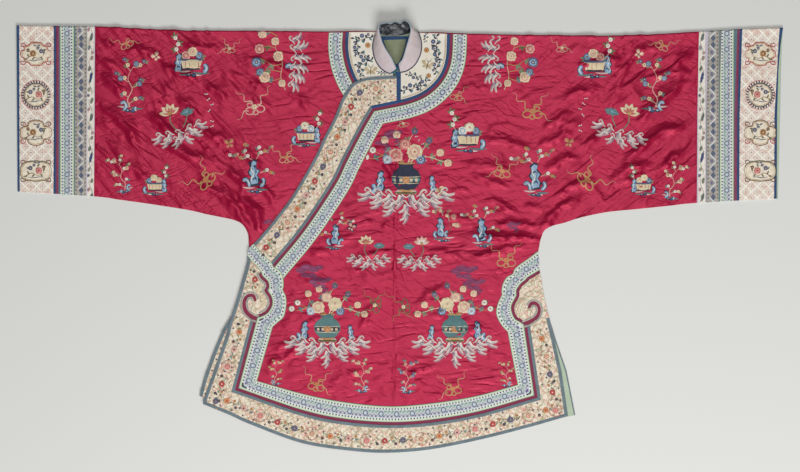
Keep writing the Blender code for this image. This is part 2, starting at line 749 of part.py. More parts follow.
def cuff_areas(cuff, side, edge):
    """Areas of a cuff's strips, from the sleeve's end inwards."""
    areas, outer = [], [(edge, height) for height in CUFF_HEIGHTS]
    for name, _, *across in cuff:
        line = list(zip(across, CUFF_HEIGHTS))
        areas.append(("%s_cuff_%s" % (side, name), outer + line[::-1]))
        outer = line
    return areas


def fold_lines(folds):
    """Crest and foot lines of the folds, which become edges of the cloth."""
    lines = []
    for fold in folds:
        rows, across = fold_line(fold)
        lines.append([row[:2] for row in rows])
        for side in (-1, 1):
            lines.append([np.array(row[:2]) + across * row[2] * side for row in rows])
    return lines


def roll_lines(shoulder):
    return [offset(shoulder, side * row[0]) for row in ROLL_FALL[1:] for side in (-1,)]


def ends(line, count=1):
    """The line without its end points."""
    return line[count:-count]


RIGHT_TOP = straight(RIGHT_SHOULDER, SHOULDER_STEP)
LEFT_TOP = straight(LEFT_SHOULDER, SHOULDER_STEP)
CLOSING = smooth(CLOSING_EDGE, EDGE_STEP)
OVERLAP_EDGE = smooth(OVERLAP_SIDE, EDGE_STEP)
HEM = smooth(FRONT_HEM, EDGE_STEP)
SLIT = straight(LEFT_SLIT, EDGE_STEP)
LEFT_NECKLINE = smooth(LEFT_NECK, 10)
RIGHT_NECKLINE = smooth(RIGHT_NECK, 10)
LEFT_ARM = smooth(LEFT_UNDERARM, EDGE_STEP)
RIGHT_ARM = smooth(RIGHT_UNDERARM, EDGE_STEP)

OUTER_OUTLINE = join(
    LEFT_TOP, straight(LEFT_CUFF_EDGE, EDGE_STEP), LEFT_ARM, smooth(LEFT_SIDE, EDGE_STEP), SLIT, HEM,
    OVERLAP_EDGE, CLOSING,
) + [np.array((-8.0, 380.0))] + LEFT_NECKLINE[:-1]
INNER_OUTLINE = join(
    RIGHT_TOP, RIGHT_NECKLINE, straight([RIGHT_NECK[-1], UNDERLAP_HEM[0]], 60), smooth(UNDERLAP_HEM, 40),
    smooth(UNDERLAP_SIDE, EDGE_STEP), smooth(UNDERLAP_SEAM, EDGE_STEP), RIGHT_ARM,
)


def outer_layer():
    body_side, hem_side, left_notch, upright_start, upright_end = ribbon_edges()
    ring = smooth(NECK_GUIDE, EDGE_STEP)
    guide = join(ring, straight([NECK_GUIDE[-1], CLOSING_CORNER], EDGE_STEP), smooth(CLOSING_GUIDE, EDGE_STEP))
    edge = join(OVERLAP_EDGE[::-1], HEM[::-1], SLIT[::-1])
    panels = cuff_areas(LEFT_CUFF, "left", 900)
    panels += [
        ("overlap", [(-600, 420)] + list(CENTRE_SEAM) + [(-600, -520)]),
        ("left_half", [(-3, 520), (-3, 400)] + list(CENTRE_SEAM[1:]) + [(900, -520), (900, 520)]),
    ]
    ring_end = len(ring)
    trimmings = [
        ("border_ribbon", body_side + hem_side[::-1]),
        ("ground", between(hem_side[left_notch:], 0, -GROUND_STRIP)),
        ("ground", curl(LEFT_CURL)),
        ("ground", curl(RIGHT_CURL)),
        ("hem_piping", between(hem_side[upright_start:upright_end], -GROUND_STRIP, -GROUND_STRIP - PIPING)),
        ("hem_binding", between(edge, -4, BINDING)),
        ("hem_band", edge + [(343, -100), (345, -40)] + hem_side[::-1]),
        ("placket", PLACKET),
        ("closing_binding", between(CLOSING[1:], 4, -CLOSING_BINDING)),
        ("neck_piping", between(ring, 0, PIPING)),
        ("closing_piping", between(guide, 0, PIPING)),
        ("ground", between(guide, PIPING, PIPING + GROUND_STRIP)),
        ("neck_ribbon", between(guide, PIPING + GROUND_STRIP, PIPING + GROUND_STRIP + RIBBON)),
        ("closing_band", CLOSING + [(-3, 371)] + guide[ring_end - 1:]),
        ("left_yoke", ring + [(-3, 520), (108, 520)]),
    ]
    lines = fold_lines(OUTER_FOLDS) + [ends(line) for line in roll_lines(LEFT_TOP[2:])]
    return Layer(OUTER_OUTLINE, panels, trimmings, outer_levels, lines)


def inner_layer():
    guide = smooth(UNDER_GUIDE, EDGE_STEP)
    side = smooth(UNDERLAP_SIDE, EDGE_STEP)[::-1]
    covered = offset(CLOSING[2:], -COVERED)
    panels = cuff_areas(RIGHT_CUFF, "right", -900)
    panels.append(("right_half", [(-900, 520), (100, 520), (100, -520), (-900, -520)]))
    trimmings = [
        ("underlap_binding", between(side, -4, BINDING)),
        ("underlap_band", between(side, BINDING, BINDING + BAND / 2)),
        ("ground", covered + [(0, 359), (60, 359), (60, -60), (-300, -60)]),
        ("under_piping", between(guide, 0, -PIPING)),
        ("ground", between(guide, -PIPING, -PIPING - GROUND_STRIP)),
        ("under_ribbon", between(guide, -PIPING - GROUND_STRIP, -PIPING - GROUND_STRIP - RIBBON)),
        ("right_yoke", guide + [(0, 316), (0, 520), (-117, 520)]),
    ]
    closing_lines = [CLOSING[1:], offset(CLOSING[2:-1], FOLD_FADE)]
    lines = fold_lines(SLEEVE_FOLDS) + [ends(line) for line in roll_lines(RIGHT_TOP[:-2])] + closing_lines
    return Layer(INNER_OUTLINE, panels, trimmings, inner_levels, lines)


def back_layer(inner, outer):
    def shoulder_points(layer, line):
        near = [point for point in layer.points if distance_to([point], line)[0] < 0.3]
        return sorted(near, key=lambda point: point[0])

    right_top = shoulder_points(inner, RIGHT_TOP)
    left_top = shoulder_points(outer, LEFT_TOP)
    outline = join(
        right_top, straight(BACK_NECK, EDGE_STEP), left_top, straight(BACK_CUFF_EDGE, 90),
        LEFT_ARM, smooth(LEFT_SIDE, EDGE_STEP), straight(BACK_LEFT_SLIT, EDGE_STEP), smooth(BACK_HEM, 60),
        smooth(BACK_RIGHT_SLIT, EDGE_STEP), smooth(BACK_RIGHT_SEAM, EDGE_STEP), RIGHT_ARM,
    )
    panels = cuff_areas(RIGHT_CUFF, "right", -900) + cuff_areas(LEFT_CUFF, "left", 900)
    panels += [
        ("right_half", [(-900, 520), (BACK_SEAM[0][0], 520)] + BACK_SEAM + [(BACK_SEAM[1][0], -520), (-900, -520)]),
        ("left_half", [(900, 520), (BACK_SEAM[0][0], 520)] + BACK_SEAM + [(BACK_SEAM[1][0], -520), (900, -520)]),
    ]
    return Layer(outline, panels, [], lambda points: np.zeros(len(points)), grid=150)


def neck_layer(level):
    outline = join(smooth(NECK_OPENING, 10), straight([NECK_OPENING[-1], NECK_OPENING[0]], 30))
    return Layer(outline, [("vee", NECK_VEE), ("rim", list(outline))], [("lining", list(outline))],
                 lambda points: np.full(len(points), float(level)), grid=40)


def slit_layer():
    """The back's lining that shows beside the left slit, with its bound edge."""
    front = [(x + 0.6, y) for x, y in straight(LEFT_SLIT, EDGE_STEP)]
    back = straight(BACK_LEFT_SLIT, EDGE_STEP)
    start = np.array((346.2, -196.0))
    outline = [start] + back[1:] + front[:0:-1]
    binding = between([np.array((343, -185))] + back[1:], -3, BACK_BINDING)
    return Layer(outline, [("binding", binding[::1]), ("lining", list(outline))], [],
                 lambda points: np.full(len(points), float(FRONT_LEVEL)), grid=400)


def build():
    outer, inner = outer_layer(), inner_layer()
    back = back_layer(inner, outer)
    folded_panel("right_half", "crimson_satin", inner, "right_half", back, "right_half", RIGHT_TOP)
    folded_panel("left_half", "crimson_satin", outer, "left_half", back, "left_half", LEFT_TOP)
    flat_piece("overlap", "crimson_satin", outer, 0, "overlap", 0)
    for cuff, side, layer, top in ((RIGHT_CUFF, "right", inner, RIGHT_TOP), (LEFT_CUFF, "left", outer, LEFT_TOP)):
        for name, finish, *_ in cuff:
            label = "%s_cuff_%s" % (side, name)
            folded_panel(label, finish, layer, label, back, label, top)
    for name, finish in (
        ("border_ribbon", "flowered_ribbon"), ("hem_piping", "grey_green_binding"),
        ("hem_binding", "grey_green_binding"), ("hem_band", "cream_embroidered_silk"),
        ("placket", "blue_binding"), ("closing_binding", "grey_green_binding"),
        ("neck_piping", "blue_binding"), ("closing_piping", "grey_green_binding"),
        ("neck_ribbon", "flowered_ribbon"),
        ("closing_band", "cream_embroidered_silk"), ("left_yoke", "ivory_embroidered_silk"),
    ):
        flat_piece(name, finish, outer, 1, name, LAYER)
    for name, finish in (
        ("underlap_binding", "grey_green_binding"), ("underlap_band", "cream_embroidered_silk"),
        ("under_piping", "blue_binding"), ("under_ribbon", "flowered_ribbon"),
        ("right_yoke", "ivory_embroidered_silk"),
    ):
        flat_piece(name, finish, inner, 1, name, LAYER)
    flat_piece("neck_lining", "green_lining", neck_layer(LAYER), 1, "lining", 0)
    flat_piece("neck_facing", "blue_binding", neck_layer(2 * LAYER), 0, "rim", 0)
    slit = slit_layer()
    flat_piece("slit_lining", "green_lining", slit, 0, "lining", 0)
    flat_piece("back_slit_binding", "grey_green_binding", slit, 0, "binding", 0)
    collar()


for old in list(bpy.data.objects):
    bpy.data.objects.remove(old, do_unlink=True)
build()
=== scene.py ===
"""How the embroidered satin coat looks: its cloth, trimmings, embroidery, floor and light.

Tables are in millimetres. X runs to the wearer's left, Y up to the shoulders
and Z up from the surface that the coat lies on.
"""
import math

import bpy
import numpy as np
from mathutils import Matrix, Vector, kdtree, noise
from mathutils.bvhtree import BVHTree
from mathutils.geometry import delaunay_2d_cdt


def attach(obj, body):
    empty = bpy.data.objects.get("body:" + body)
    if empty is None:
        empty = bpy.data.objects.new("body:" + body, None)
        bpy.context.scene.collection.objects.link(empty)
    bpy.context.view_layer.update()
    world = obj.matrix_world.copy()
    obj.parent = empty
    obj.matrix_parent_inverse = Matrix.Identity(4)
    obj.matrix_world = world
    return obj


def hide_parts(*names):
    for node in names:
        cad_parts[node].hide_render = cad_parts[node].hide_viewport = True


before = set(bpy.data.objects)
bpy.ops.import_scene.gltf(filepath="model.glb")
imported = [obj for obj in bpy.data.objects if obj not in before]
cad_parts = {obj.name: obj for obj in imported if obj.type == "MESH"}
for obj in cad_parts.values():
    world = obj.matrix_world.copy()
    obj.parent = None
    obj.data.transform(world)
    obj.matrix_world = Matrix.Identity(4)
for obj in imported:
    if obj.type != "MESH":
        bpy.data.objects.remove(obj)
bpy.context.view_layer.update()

MM = 0.001

# Thickness of the cloth, drop of its edges and the heights of its layers
WALL = 1.2
EDGE_DROP = 0.5
LAYER = 1.5
FRONT_LEVEL = LAYER
OVERLAP_RISE = 2 * LAYER
# The x up to which the overlap lies on the underlap, and the x from which it lies on the back alone
OVERLAP_FULL_X = -7
OVERLAP_NONE_X = 20

# The soft roll of cloth over each shoulder: its rise, and the share of it at each distance below the fold
ROLL_RISE = 3.1
ROLL_FALL = ((0, 1.0), (9, 0.35), (24, 0.0))
ROLL_LINES = (3, 6, 9, 16, 24)
ROLL_STEPS = 6
NECK_EASE = 45

# Widths of the trimmings
BINDING = 7.5
CLOSING_BINDING = 6.5
BAND = 40
PIPING = 7
GROUND_STRIP = 6.5
RIBBON = 33
BACK_BINDING = 2.5
# From the guide of a piping to the far side of the satin strip and of the ribbon beside it
STRIP_EDGE = PIPING + GROUND_STRIP
RIBBON_EDGE = STRIP_EDGE + RIBBON
RIBBON_MIDDLE = STRIP_EDGE + RIBBON / 2
# Length of the closing's piping that is blue, from the shoulder down
BLUE_PIPING = 298
# From the closing edge to where the underlap is out of sight
COVERED = 12
# How far the area of a binding runs out beyond the cloth's edge
OVERHANG = 4

# The pressed centre seam: half width of its flat, width and level of its ridge, and the ridge's course
SEAM_WIDTH = 0.5
SEAM_RIDGE = 7
SEAM_LEVEL = -0.6
SEAM_COURSE = [(-4, 270), (-10, 0), (-14, -400)]
# Spacing of the ridge's points, and the number of steps in each of its runs
SEAM_STEP = 5
SEAM_RUN = 6

# Spacing of the points along edges, in curls and across the cloth
EDGE_STEP = 6
CURL_STEP = 2.5
NECK_STEP = 4
COARSE_STEP = 20
GRID_STEP = 5.5
GRID_CLEARANCE = 2.6
BACK_GRID = 22
BACK_CLEARANCE = 8
# Points nearer than this are one, and triangles flatter or pieces smaller than these are left out
MERGE = 0.2
FLAT = 0.01
LEAST_TRIANGLES = 12
# Points nearer to the shoulder line than this lie on it
ON_LINE = 0.3
# Largest gap between a shoulder point of the front and the back's point that it meets
LARGEST_GAP = 0.5
# Edges of the cloth that bend by more degrees than this look sharp
SHARP_ANGLE = 48

# Outline of the wearer's right half, each row a point (x, y)
RIGHT_SHOULDER = [(-881, 484), (-702, 482), (-584, 476), (-485, 472), (-366, 472), (-161, 470), (-53, 472)]
RIGHT_NECK = [(-53, 472), (-54, 461), (-58, 436), (-54, 413), (-43, 394), (-28, 383), (-16, 378)]
RIGHT_UNDERARM = [
    (-347.5, -21), (-348, -10), (-349, 6), (-355, 20), (-365, 32), (-383, 40), (-405, 45),
    (-445, 53), (-484, 62), (-564, 75), (-643, 86), (-704, 94), (-879, 105),
]
UNDERLAP_SIDE = [(-461, -365), (-450, -324), (-430, -268), (-408, -215), (-392, -188)]
UNDERLAP_SEAM = [(-392, -188), (-384, -173), (-374, -147), (-358, -91), (-349, -55), (-347.5, -21)]
UNDERLAP_HEM = [(-22, -477), (-108, -473), (-225, -455), (-343, -412), (-392, -391), (-461, -365)]

# Outline of the wearer's left half and of the overlap that crosses the chest
LEFT_SHOULDER = [
    (37, 470), (161, 465), (299, 462), (359, 462), (458, 460), (575, 463), (688, 470), (787, 476), (880, 479),
]
LEFT_CUFF_EDGE = [(880, 479), (875, 442), (870, 385), (867, 281), (866, 89)]
LEFT_UNDERARM = [
    (866, 89), (683, 79), (616, 72), (537, 64), (477, 58), (418, 46), (377, 33), (356, 28),
    (339, 21), (330, 13), (326, 3), (322, -9), (320, -22), (318, -31),
]
LEFT_SIDE = [(318, -31), (321, -76), (324, -92), (330, -129), (336, -158), (343, -185)]
LEFT_SLIT = [(343, -185), (356, -241), (371, -308), (386, -411)]
FRONT_HEM = [
    (386, -411), (303, -435), (185, -465), (68, -488), (-26, -495), (-108, -491), (-225, -473),
    (-343, -430), (-392, -408), (-453, -383),
]
OVERLAP_SIDE = [
    (-453, -383), (-448, -364), (-423, -294), (-400, -227), (-392, -195), (-376, -147), (-360, -91),
    (-353, -66), (-351, -55), (-350, -31),
]
CLOSING_EDGE = [
    (-350, -31), (-345, -22), (-336, -15), (-308, 16), (-263, 73), (-238, 110), (-198, 179),
    (-174, 230), (-152, 272), (-135, 314), (-124, 333), (-114, 348), (-99, 359), (-72, 367), (-8, 371),
]
LEFT_NECK = [(2, 381), (16, 387), (31, 400), (42, 422), (45, 440), (42, 458), (37, 470)]
CENTRE_SEAM = [(-3, 400), (-3, 311), (-10, 0), (-16, -520)]

# Outline of the back where it differs from the front
BACK_NECK = [(-53, 472), (-30, 469), (-9, 468), (15, 469), (37, 470)]
BACK_CUFF_EDGE = [(880, 479), (878, 442), (876, 385), (874, 281), (869, 88)]
BACK_LEFT_SLIT = [(343, -185), (360, -241), (383, -308), (403, -409)]
BACK_HEM = [
    (403, -409), (303, -431), (185, -461), (68, -484), (-26, -491), (-108, -487), (-225, -469),
    (-343, -425), (-392, -400), (-452, -372),
]
BACK_RIGHT_SLIT = [(-452, -372), (-441, -324), (-421, -268), (-399, -215), (-389, -188)]
BACK_RIGHT_SEAM = [(-389, -188), (-381, -173), (-371, -147), (-355, -91), (-348, -55), (-347.5, -21)]
BACK_SEAM = [(-8, 480), (-12, -510)]
BACK_NECK_GUIDE = [
    (108, 490), (107, 440), (92, 402), (62, 376), (20, 362), (-20, 362), (-68, 376), (-101, 404), (-117, 442),
    (-117, 490),
]

# Cuff seams, counted in from the sleeve's end: name and the seam's x at top, middle and bottom
CUFF_HEIGHTS = (500, 281, 60)
# The x of each sleeve's end, and an x beyond all of it
SLEEVE_ENDS = {"right": -880, "left": 868}
BEYOND_SLEEVE = {"right": -900, "left": 900}
# Lowest and highest y of the raised lines in the cuffs' narrow strips
CROWN_SPAN = (108, 474)
RIGHT_CUFF = [
    ("binding", -875, -875, -874), ("band", -796, -796, -797), ("piping", -791, -791, -791.5),
    ("strip", -783, -784, -785.5), ("ribbon", -746, -747, -748.5), ("grey_brocade", -719, -721, -723),
    ("cream_brocade", -701, -702, -704),
]
LEFT_CUFF = [
    ("binding", 873.5, 861, 860), ("band", 787.5, 781, 780), ("piping", 782, 775.5, 774.5),
    ("strip", 776, 768.5, 767), ("ribbon", 740, 734, 733), ("grey_brocade", 709.5, 704, 704),
    ("cream_brocade", 688, 683.5, 682.5),
]
CUFFS = {"right": RIGHT_CUFF, "left": LEFT_CUFF}

# Inner edge of the piping: the ring round the neck, the closing from its corner on, and the underlap's ring
NECK_GUIDE = [
    (108, 490), (108, 470), (106, 420), (99, 389), (85, 364), (64, 343), (41, 329), (16, 320), (-3, 315),
]
CLOSING_CORNER = (-68, 302)
CLOSING_GUIDE = [
    (-68, 302), (-96, 254), (-135, 179), (-156, 135), (-201, 65), (-242, 8), (-294, -54), (-306, -69),
]
UNDER_GUIDE = [
    (-117, 490), (-117, 472), (-119, 440), (-115, 408), (-106, 379), (-92, 352), (-74, 332), (-50, 316),
]
PLACKET = [(-8, 400), (-8, 309), (2, 309), (2, 400)]

# Border ribbon, a row per section: its edge on the body side, then its edge on the hem side
LEFT_CLOUD = [
    [(-347, -3, -361, -34), (-336, -14, -351, -43), (-314, -40, -337, -59), (-297, -55, -323, -74),
     (-290, -68, -319, -80)],
    [(-290, -68, -319, -80), (-277, -75, -316, -89), (-269, -89, -304, -101), (-267, -110, -301, -114),
     (-269, -121, -305, -122)],
    [(-269, -121, -305, -122), (-262, -136, -295, -138), (-261, -158, -294, -156), (-267, -183, -304, -173),
     (-281, -196, -317, -181), (-292, -206, -328, -184)],
]
LEFT_UPRIGHT = [(-292, -206, -328, -184), (-328, -330, -371.5, -347)]
HEM_RIBBON = [
    (-328, -330, -371.5, -347), (-225, -359, -225, -397), (-131, -378, -131, -417), (-26, -388, -26, -425),
    (68, -382, 68, -420), (174, -365, 179, -401), (270, -339, 309, -364),
]
RIGHT_UPRIGHT = [(270, -339, 309, -364), (247, -218, 285, -200)]
RIGHT_CLOUD = [
    [(247, -218, 285, -200), (232, -201, 276, -194), (221, -177, 263, -185), (224, -154, 256, -160),
     (234, -132, 268, -134)],
    [(234, -132, 268, -134), (233, -122, 268, -122), (236, -107, 273, -113), (245, -92, 279.5, -105),
     (259, -84, 289, -98)],
    [(259, -84, 289, -98), (263, -73, 293, -93), (274, -63, 306, -85), (294, -49, 321, -76),
     (318, -31, 340, -66), (336, -20, 358, -57)],
]

# Curled slots in the border that show the satin: x, y and width along the middle of each
LEFT_CURL = [
    (-326.6, -188, 11), (-340, -183, 10), (-351, -174, 9.5), (-357, -163, 8.5), (-358, -149, 8),
    (-353, -137.5, 7.5), (-344, -133, 7.5), (-336, -136, 8), (-333, -144, 7),
]
RIGHT_CURL = [
    (283, -200, 11), (294, -196, 10), (306, -190, 9), (316, -181, 8), (320, -170, 7.5),
    (318, -158, 7.5), (309, -151, 8), (301, -153, 8), (297, -160, 7),
]

# Main creases: start x, start y, end x, end y, sideways bow, half width, height
SLEEVE_FOLDS = [
    (-690, 452, -655, 430, 3, 9, 3.0),
    (-688, 380, -640, 320, 5, 12, 5.0),
    (-692, 314, -590, 182, 10, 16, 7.0),
    (-628, 432, -538, 410, 5, 11, 4.5),
    (-540, 388, -467, 355, 4, 11, 4.5),
    (-448, 355, -398, 310, 4, 10, 4.0),
    (-512, 322, -458, 272, 4, 11, 4.0),
    (-578, 282, -512, 220, 5, 13, 5.0),
    (-552, 210, -402, 148, 8, 14, 6.0),
    (-462, 243, -380, 204, 5, 13, 5.0),
    (-644, 170, -570, 126, 4, 12, 5.0),
    (-420, 110, -366, 52, 5, 12, 5.0),
    (-455, 122, -400, 80, 4, 11, 4.5),
    (-392, 160, -352, 92, 4, 12, 4.5),
    (-368, 208, -312, 138, 4, 12, 4.5),
    (-356, 332, -294, 286, 4, 11, 3.5),
    (-345, 412, -248, 370, 5, 12, 4.0),
    (-255, 334, -206, 290, 4, 10, 3.0),
    (-662, 204, -616, 140, 3, 10, 4.0),
    (-492, 440, -402, 424, 3, 10, 3.5),
    (-374, 100, -314, 24, 5, 14, 7.0),
    (-352, 64, -314, 8, 3, 11, 6.0),
    (-388, 72, -346, 14, 3, 10, 5.0),
    (-330, 130, -290, 74, 4, 10, 4.0),
]
OUTER_FOLDS = [
    (672, 425, 626, 382, -4, 11, 4.5),
    (668, 380, 575, 361, -5, 12, 5.0),
    (664, 358, 547, 256, -9, 16, 7.0),
    (606, 440, 524, 414, -4, 10, 4.0),
    (662, 262, 524, 187, -8, 15, 6.5),
    (506, 410, 400, 390, -4, 11, 4.5),
    (391, 286, 331, 242, -4, 11, 4.0),
    (465, 346, 368, 312, -4, 12, 4.5),
    (580, 170, 474, 126, -5, 13, 5.0),
    (365, 62, 318, 10, -3, 11, 4.5),
    (420, 92, 350, 54, -4, 11, 4.5),
    (446, 132, 352, 92, -4, 12, 5.0),
    (409, 187, 334, 152, -4, 12, 4.5),
    (396, 240, 317, 204, -4, 12, 4.5),
    (552, 144, 476, 108, -4, 11, 4.5),
    (652, 200, 606, 154, -3, 11, 4.0),
    (483, 250, 414, 200, -4, 11, 4.0),
    (179, 226, 312, 198, 4, 11, 4.0),
    (142, 336, 206, 346, 2, 8, 3.0),
    (165, 2, 326, -8, 3, 13, 6.5),
    (150, -44, 310, -10, -6, 11, 5.0),
    (222, 30, 332, 22, 3, 9, 4.5),
    (282, 72, 346, 66, -3, 8, 3.5),
    (147, 163, 252, 156, 3, 12, 3.5),
    (116, 106, 164, 106, 2, 8, 3.0),
    (366, 246, 416, 270, 3, 9, 3.5),
    (-226, -34, -156, -38, 2, 8, 3.5),
    (-248, -64, -198, -68, 2, 7, 3.0),
    (-306, -294, -262, -282, 2, 8, 3.0),
    (-51, 184, 5, 108, 3, 10, 3.5),
    (-228, -92, -156, -113, 2, 9, 3.0),
    (-296, -258, -225, -240, 2, 8, 3.0),
    (-166, -35, -110, 4, 2, 8, 3.0),
    (46, -148, 120, -104, 3, 10, 3.5),
    (87, 55, 170, 26, 3, 10, 3.5),
    (-268, -285, -205, -226, 3, 9, 3.5),
    (189, 88, 276, 52, 3, 10, 4.0),
    (161, 143, 248, 110, 3, 10, 3.5),
    (-110, -55, -18, -30, 3, 10, 3.0),
    (69, -32, 161, -56, 3, 10, 3.5),
    (-230, -213, -161, -173, 2, 9, 3.0),
    (115, -236, 198, -205, 3, 10, 3.5),
    (-92, -213, -51, -146, 3, 9, 3.0),
    (9, -328, 92, -288, 3, 10, 3.0),
    (-161, -335, -82, -308, 2, 9, 3.0),
]
# Distance from the closing edge over which the underlap's folds grow
FOLD_FADE = 18
# Where the folds calm down towards the cuffs, as x of the end and the start of the calm on each side
CALM_X = ((-712, -672), (655, 695))
CALM_SHARE = 0.12
# Distance from the underlap's yoke over which its folds grow
YOKE_FADE = 60
# Distances from the middle over which the body's wrinkles give way to each sleeve's
RIGHT_SLEEVE_X = (150, 330)
LEFT_SLEEVE_X = (200, 360)
# Share of the folds left where trimmings hold the satin, and how far from them the satin is free
HELD_SHARE = 0.10
HELD_REACH = 22
# How far to the neck's side of their guide the neck's trimmings hold it
NECK_HOLD = 200
# The rest of the area that the hem's trimmings hold
HEM_REST = [(420, -20), (420, -520), (-480, -520), (-480, -3)]

# Lesser wrinkles, a row per stretch of cloth: direction in degrees, length, spacing and height
# How far the wrinkles drift sideways, and how little of their height stays between their patches
WRINKLE_DRIFT = 16
WRINKLE_LEAST = 0.08
WRINKLES = {
    "right_sleeve": (-42, 105, 25, 5.0),
    "left_sleeve": (38, 105, 25, 5.0),
    "body": (8, 85, 22, 3.4),
    "cross": (-30, 65, 18, 1.6),
}

# Neck opening, the V that stays open in it, and the collar's stations
NECK_OPENING = [
    (38, 462), (40.5, 457), (43.5, 440), (40.5, 422), (29.5, 401.5), (15, 389.5), (2, 384), (-15, 383.5),
    (-27, 386), (-41, 396.5), (-52, 414), (-56, 436), (-53, 455), (-51, 462),
]
NECK_VEE = [(14, 455), (11, 436), (5, 416), (-3, 401), (-9, 397), (-17, 408), (-30, 430), (-38, 453)]
COLLAR_WALL = 1.6
# Points from foot to free edge, and steps from one station to the next
COLLAR_ROWS = 16
COLLAR_STEPS = 9
# Distance that each step takes up in the collar's pattern, along it and up it
COLLAR_STRIP = (2.1, 3.0)
# Way along the collar to its middle, and how far on both sides its facing is dark before the blue ends
COLLAR_MIDDLE = 190
COLLAR_BLUE = 74
# The y over which the collar grows limp towards the back, how limp it is, and how much limper at the back
COLLAR_BACK = (430, 462)
COLLAR_LIMP = 0.9
COLLAR_LIMPER = 1.6
# Share of the collar's thickness at its free edge
COLLAR_THIN = 0.55
# Cord that ties the collar's two ends
COLLAR_KNOT = [(-21, 377, 6.5), (-17, 379.5, 8.5), (-12, 382.5, 10), (-7, 386, 12), (-3, 390, 12.5)]
# Each station: foot x, y, z and free edge x, y, z
COLLAR = [
    (-21, 377, 5.2, -9, 387, 15),
    (-30, 379, 5.0, -15, 400, 19),
    (-46, 391, 5.0, -21, 412, 22),
    (-58, 412, 5.0, -34, 432, 25),
    (-62, 436, 5.0, -42, 449, 26),
    (-60, 453, 5.0, -47, 467, 27),
    (-56, 465, 5.0, -49, 480, 28),
    (-48, 469, 3.6, -44, 488, 28),
    (-37, 465, 2.6, -30, 491, 25),
    (-23, 464, 2.6, -21, 489, 22),
    (-9, 464, 2.6, -11, 494, 24),
    (2, 465, 2.6, 1, 490, 21),
    (14, 467, 2.6, 9, 496, 27),
    (27, 473, 3.6, 20, 491, 29),
    (39, 473, 5.0, 25, 477, 28),
    (46, 459, 5.0, 23, 463, 27),
    (49, 440, 5.0, 19, 449, 26),
    (46, 420, 5.0, 14, 432, 25),
    (34, 397, 5.2, 7, 410, 22),
    (16, 383, 6.4, 1, 401, 19),
    (1, 379, 7.9, -3, 397, 15),
]


# Curves

def heading(degrees, length=1.0):
    """The step of a length in a direction given in degrees."""
    return length * math.cos(math.radians(degrees)), length * math.sin(math.radians(degrees))


def curve_point(before, start, end, after, t):
    """A point on the way t from start to end, on a curve that also heeds the rows before and after."""
    return 0.5 * (
        2 * start + (end - before) * t
        + (2 * before - 5 * start + 4 * end - after) * t ** 2
        + (3 * start - before - 3 * end + after) * t ** 3
    )


def smooth(rows, step):
    """Points of a curve through every row, about one step apart."""
    rows = [np.array(row, float) for row in rows]
    ends = [2 * rows[0] - rows[1]] + rows + [2 * rows[-1] - rows[-2]]
    points = [rows[0]]
    for i in range(1, len(ends) - 2):
        near = ends[i - 1:i + 3]
        pieces = max(1, round(np.linalg.norm((near[2] - near[1])[:2]) / step))
        points += [curve_point(*near, k / pieces) for k in range(1, pieces + 1)]
    return points


def straight(rows, step):
    """Points along straight runs between the rows."""
    points = [np.array(rows[0], float)]
    for start, end in zip(rows, rows[1:]):
        start, end = np.array(start, float), np.array(end, float)
        pieces = max(1, round(np.linalg.norm((end - start)[:2]) / step))
        points += [start + (end - start) * k / pieces for k in range(1, pieces + 1)]
    return points


def join(*lines):
    """One line from several that share their end points."""
    joined = list(lines[0])
    for line in lines[1:]:
        joined += list(line[1:])
    return joined


def offset(line, distance):
    """The line moved to its own left, with mitred corners."""
    line = np.array([point[:2] for point in line])
    along = np.diff(line, axis=0)
    along /= np.linalg.norm(along, axis=1)[:, None]
    left = np.column_stack((-along[:, 1], along[:, 0]))
    before = np.vstack((left[:1], left))
    after = np.vstack((left, left[-1:]))
    mitre = np.maximum(1 + (before * after).sum(axis=1), 0.35)
    return list(line + distance * (before + after) / mitre[:, None])


def between(line, near, far):
    """The strip between two offsets of a line."""
    return offset(line, near) + offset(line, far)[::-1]


def ribbon_edges():
    """The border ribbon's body side and hem side, and where its first lobe and its uprights end and start."""
    runs = [smooth(lobe, CURL_STEP) for lobe in LEFT_CLOUD]
    runs.append(straight(LEFT_UPRIGHT, EDGE_STEP))
    runs.append(smooth(HEM_RIBBON, EDGE_STEP))
    runs.append(straight(RIGHT_UPRIGHT, EDGE_STEP))
    runs += [smooth(lobe, CURL_STEP) for lobe in RIGHT_CLOUD]
    body_side = [row[:2] for row in join(*runs)]
    hem_side = [row[2:] for row in join(*runs)]
    left_notch = len(runs[0]) - 1
    upright_start = len(join(*runs[:3])) - 1
    upright_end = len(join(*runs[:6]))
    return body_side, hem_side, left_notch, upright_start, upright_end


def curl(rows):
    """Outline of a curled slot with a round tip."""
    middle = smooth(rows, CURL_STEP)
    along = np.gradient(np.array(middle), axis=0)
    sides = ([], [])
    for (x, y, width), (dx, dy, _) in zip(middle, along):
        length = math.hypot(dx, dy)
        across = np.array((-dy, dx)) / length * width / 2
        sides[0].append(np.array((x, y)) + across)
        sides[1].append(np.array((x, y)) - across)
    x, y, width = middle[-1]
    dx, dy = along[-1][:2] / math.hypot(*along[-1][:2])
    tip = [
        np.array((x + (dx * math.cos(a) - dy * math.sin(a)) * width / 2,
                  y + (dy * math.cos(a) + dx * math.sin(a)) * width / 2))
        for a in (1.0, 0.5, 0.0, -0.5, -1.0)
    ]
    return sides[0] + tip + sides[1][::-1]


def inside(points, polygon):
    """Which of the points lie in the polygon."""
    points = np.asarray(points, float)
    corners = np.array([corner[:2] for corner in polygon])
    result = np.zeros(len(points), bool)
    for (ax, ay), (bx, by) in zip(corners, np.roll(corners, -1, axis=0)):
        crosses = (ay > points[:, 1]) != (by > points[:, 1])
        if ay != by and crosses.any():
            result ^= crosses & (points[:, 0] < ax + (points[:, 1] - ay) * (bx - ax) / (by - ay))
    return result


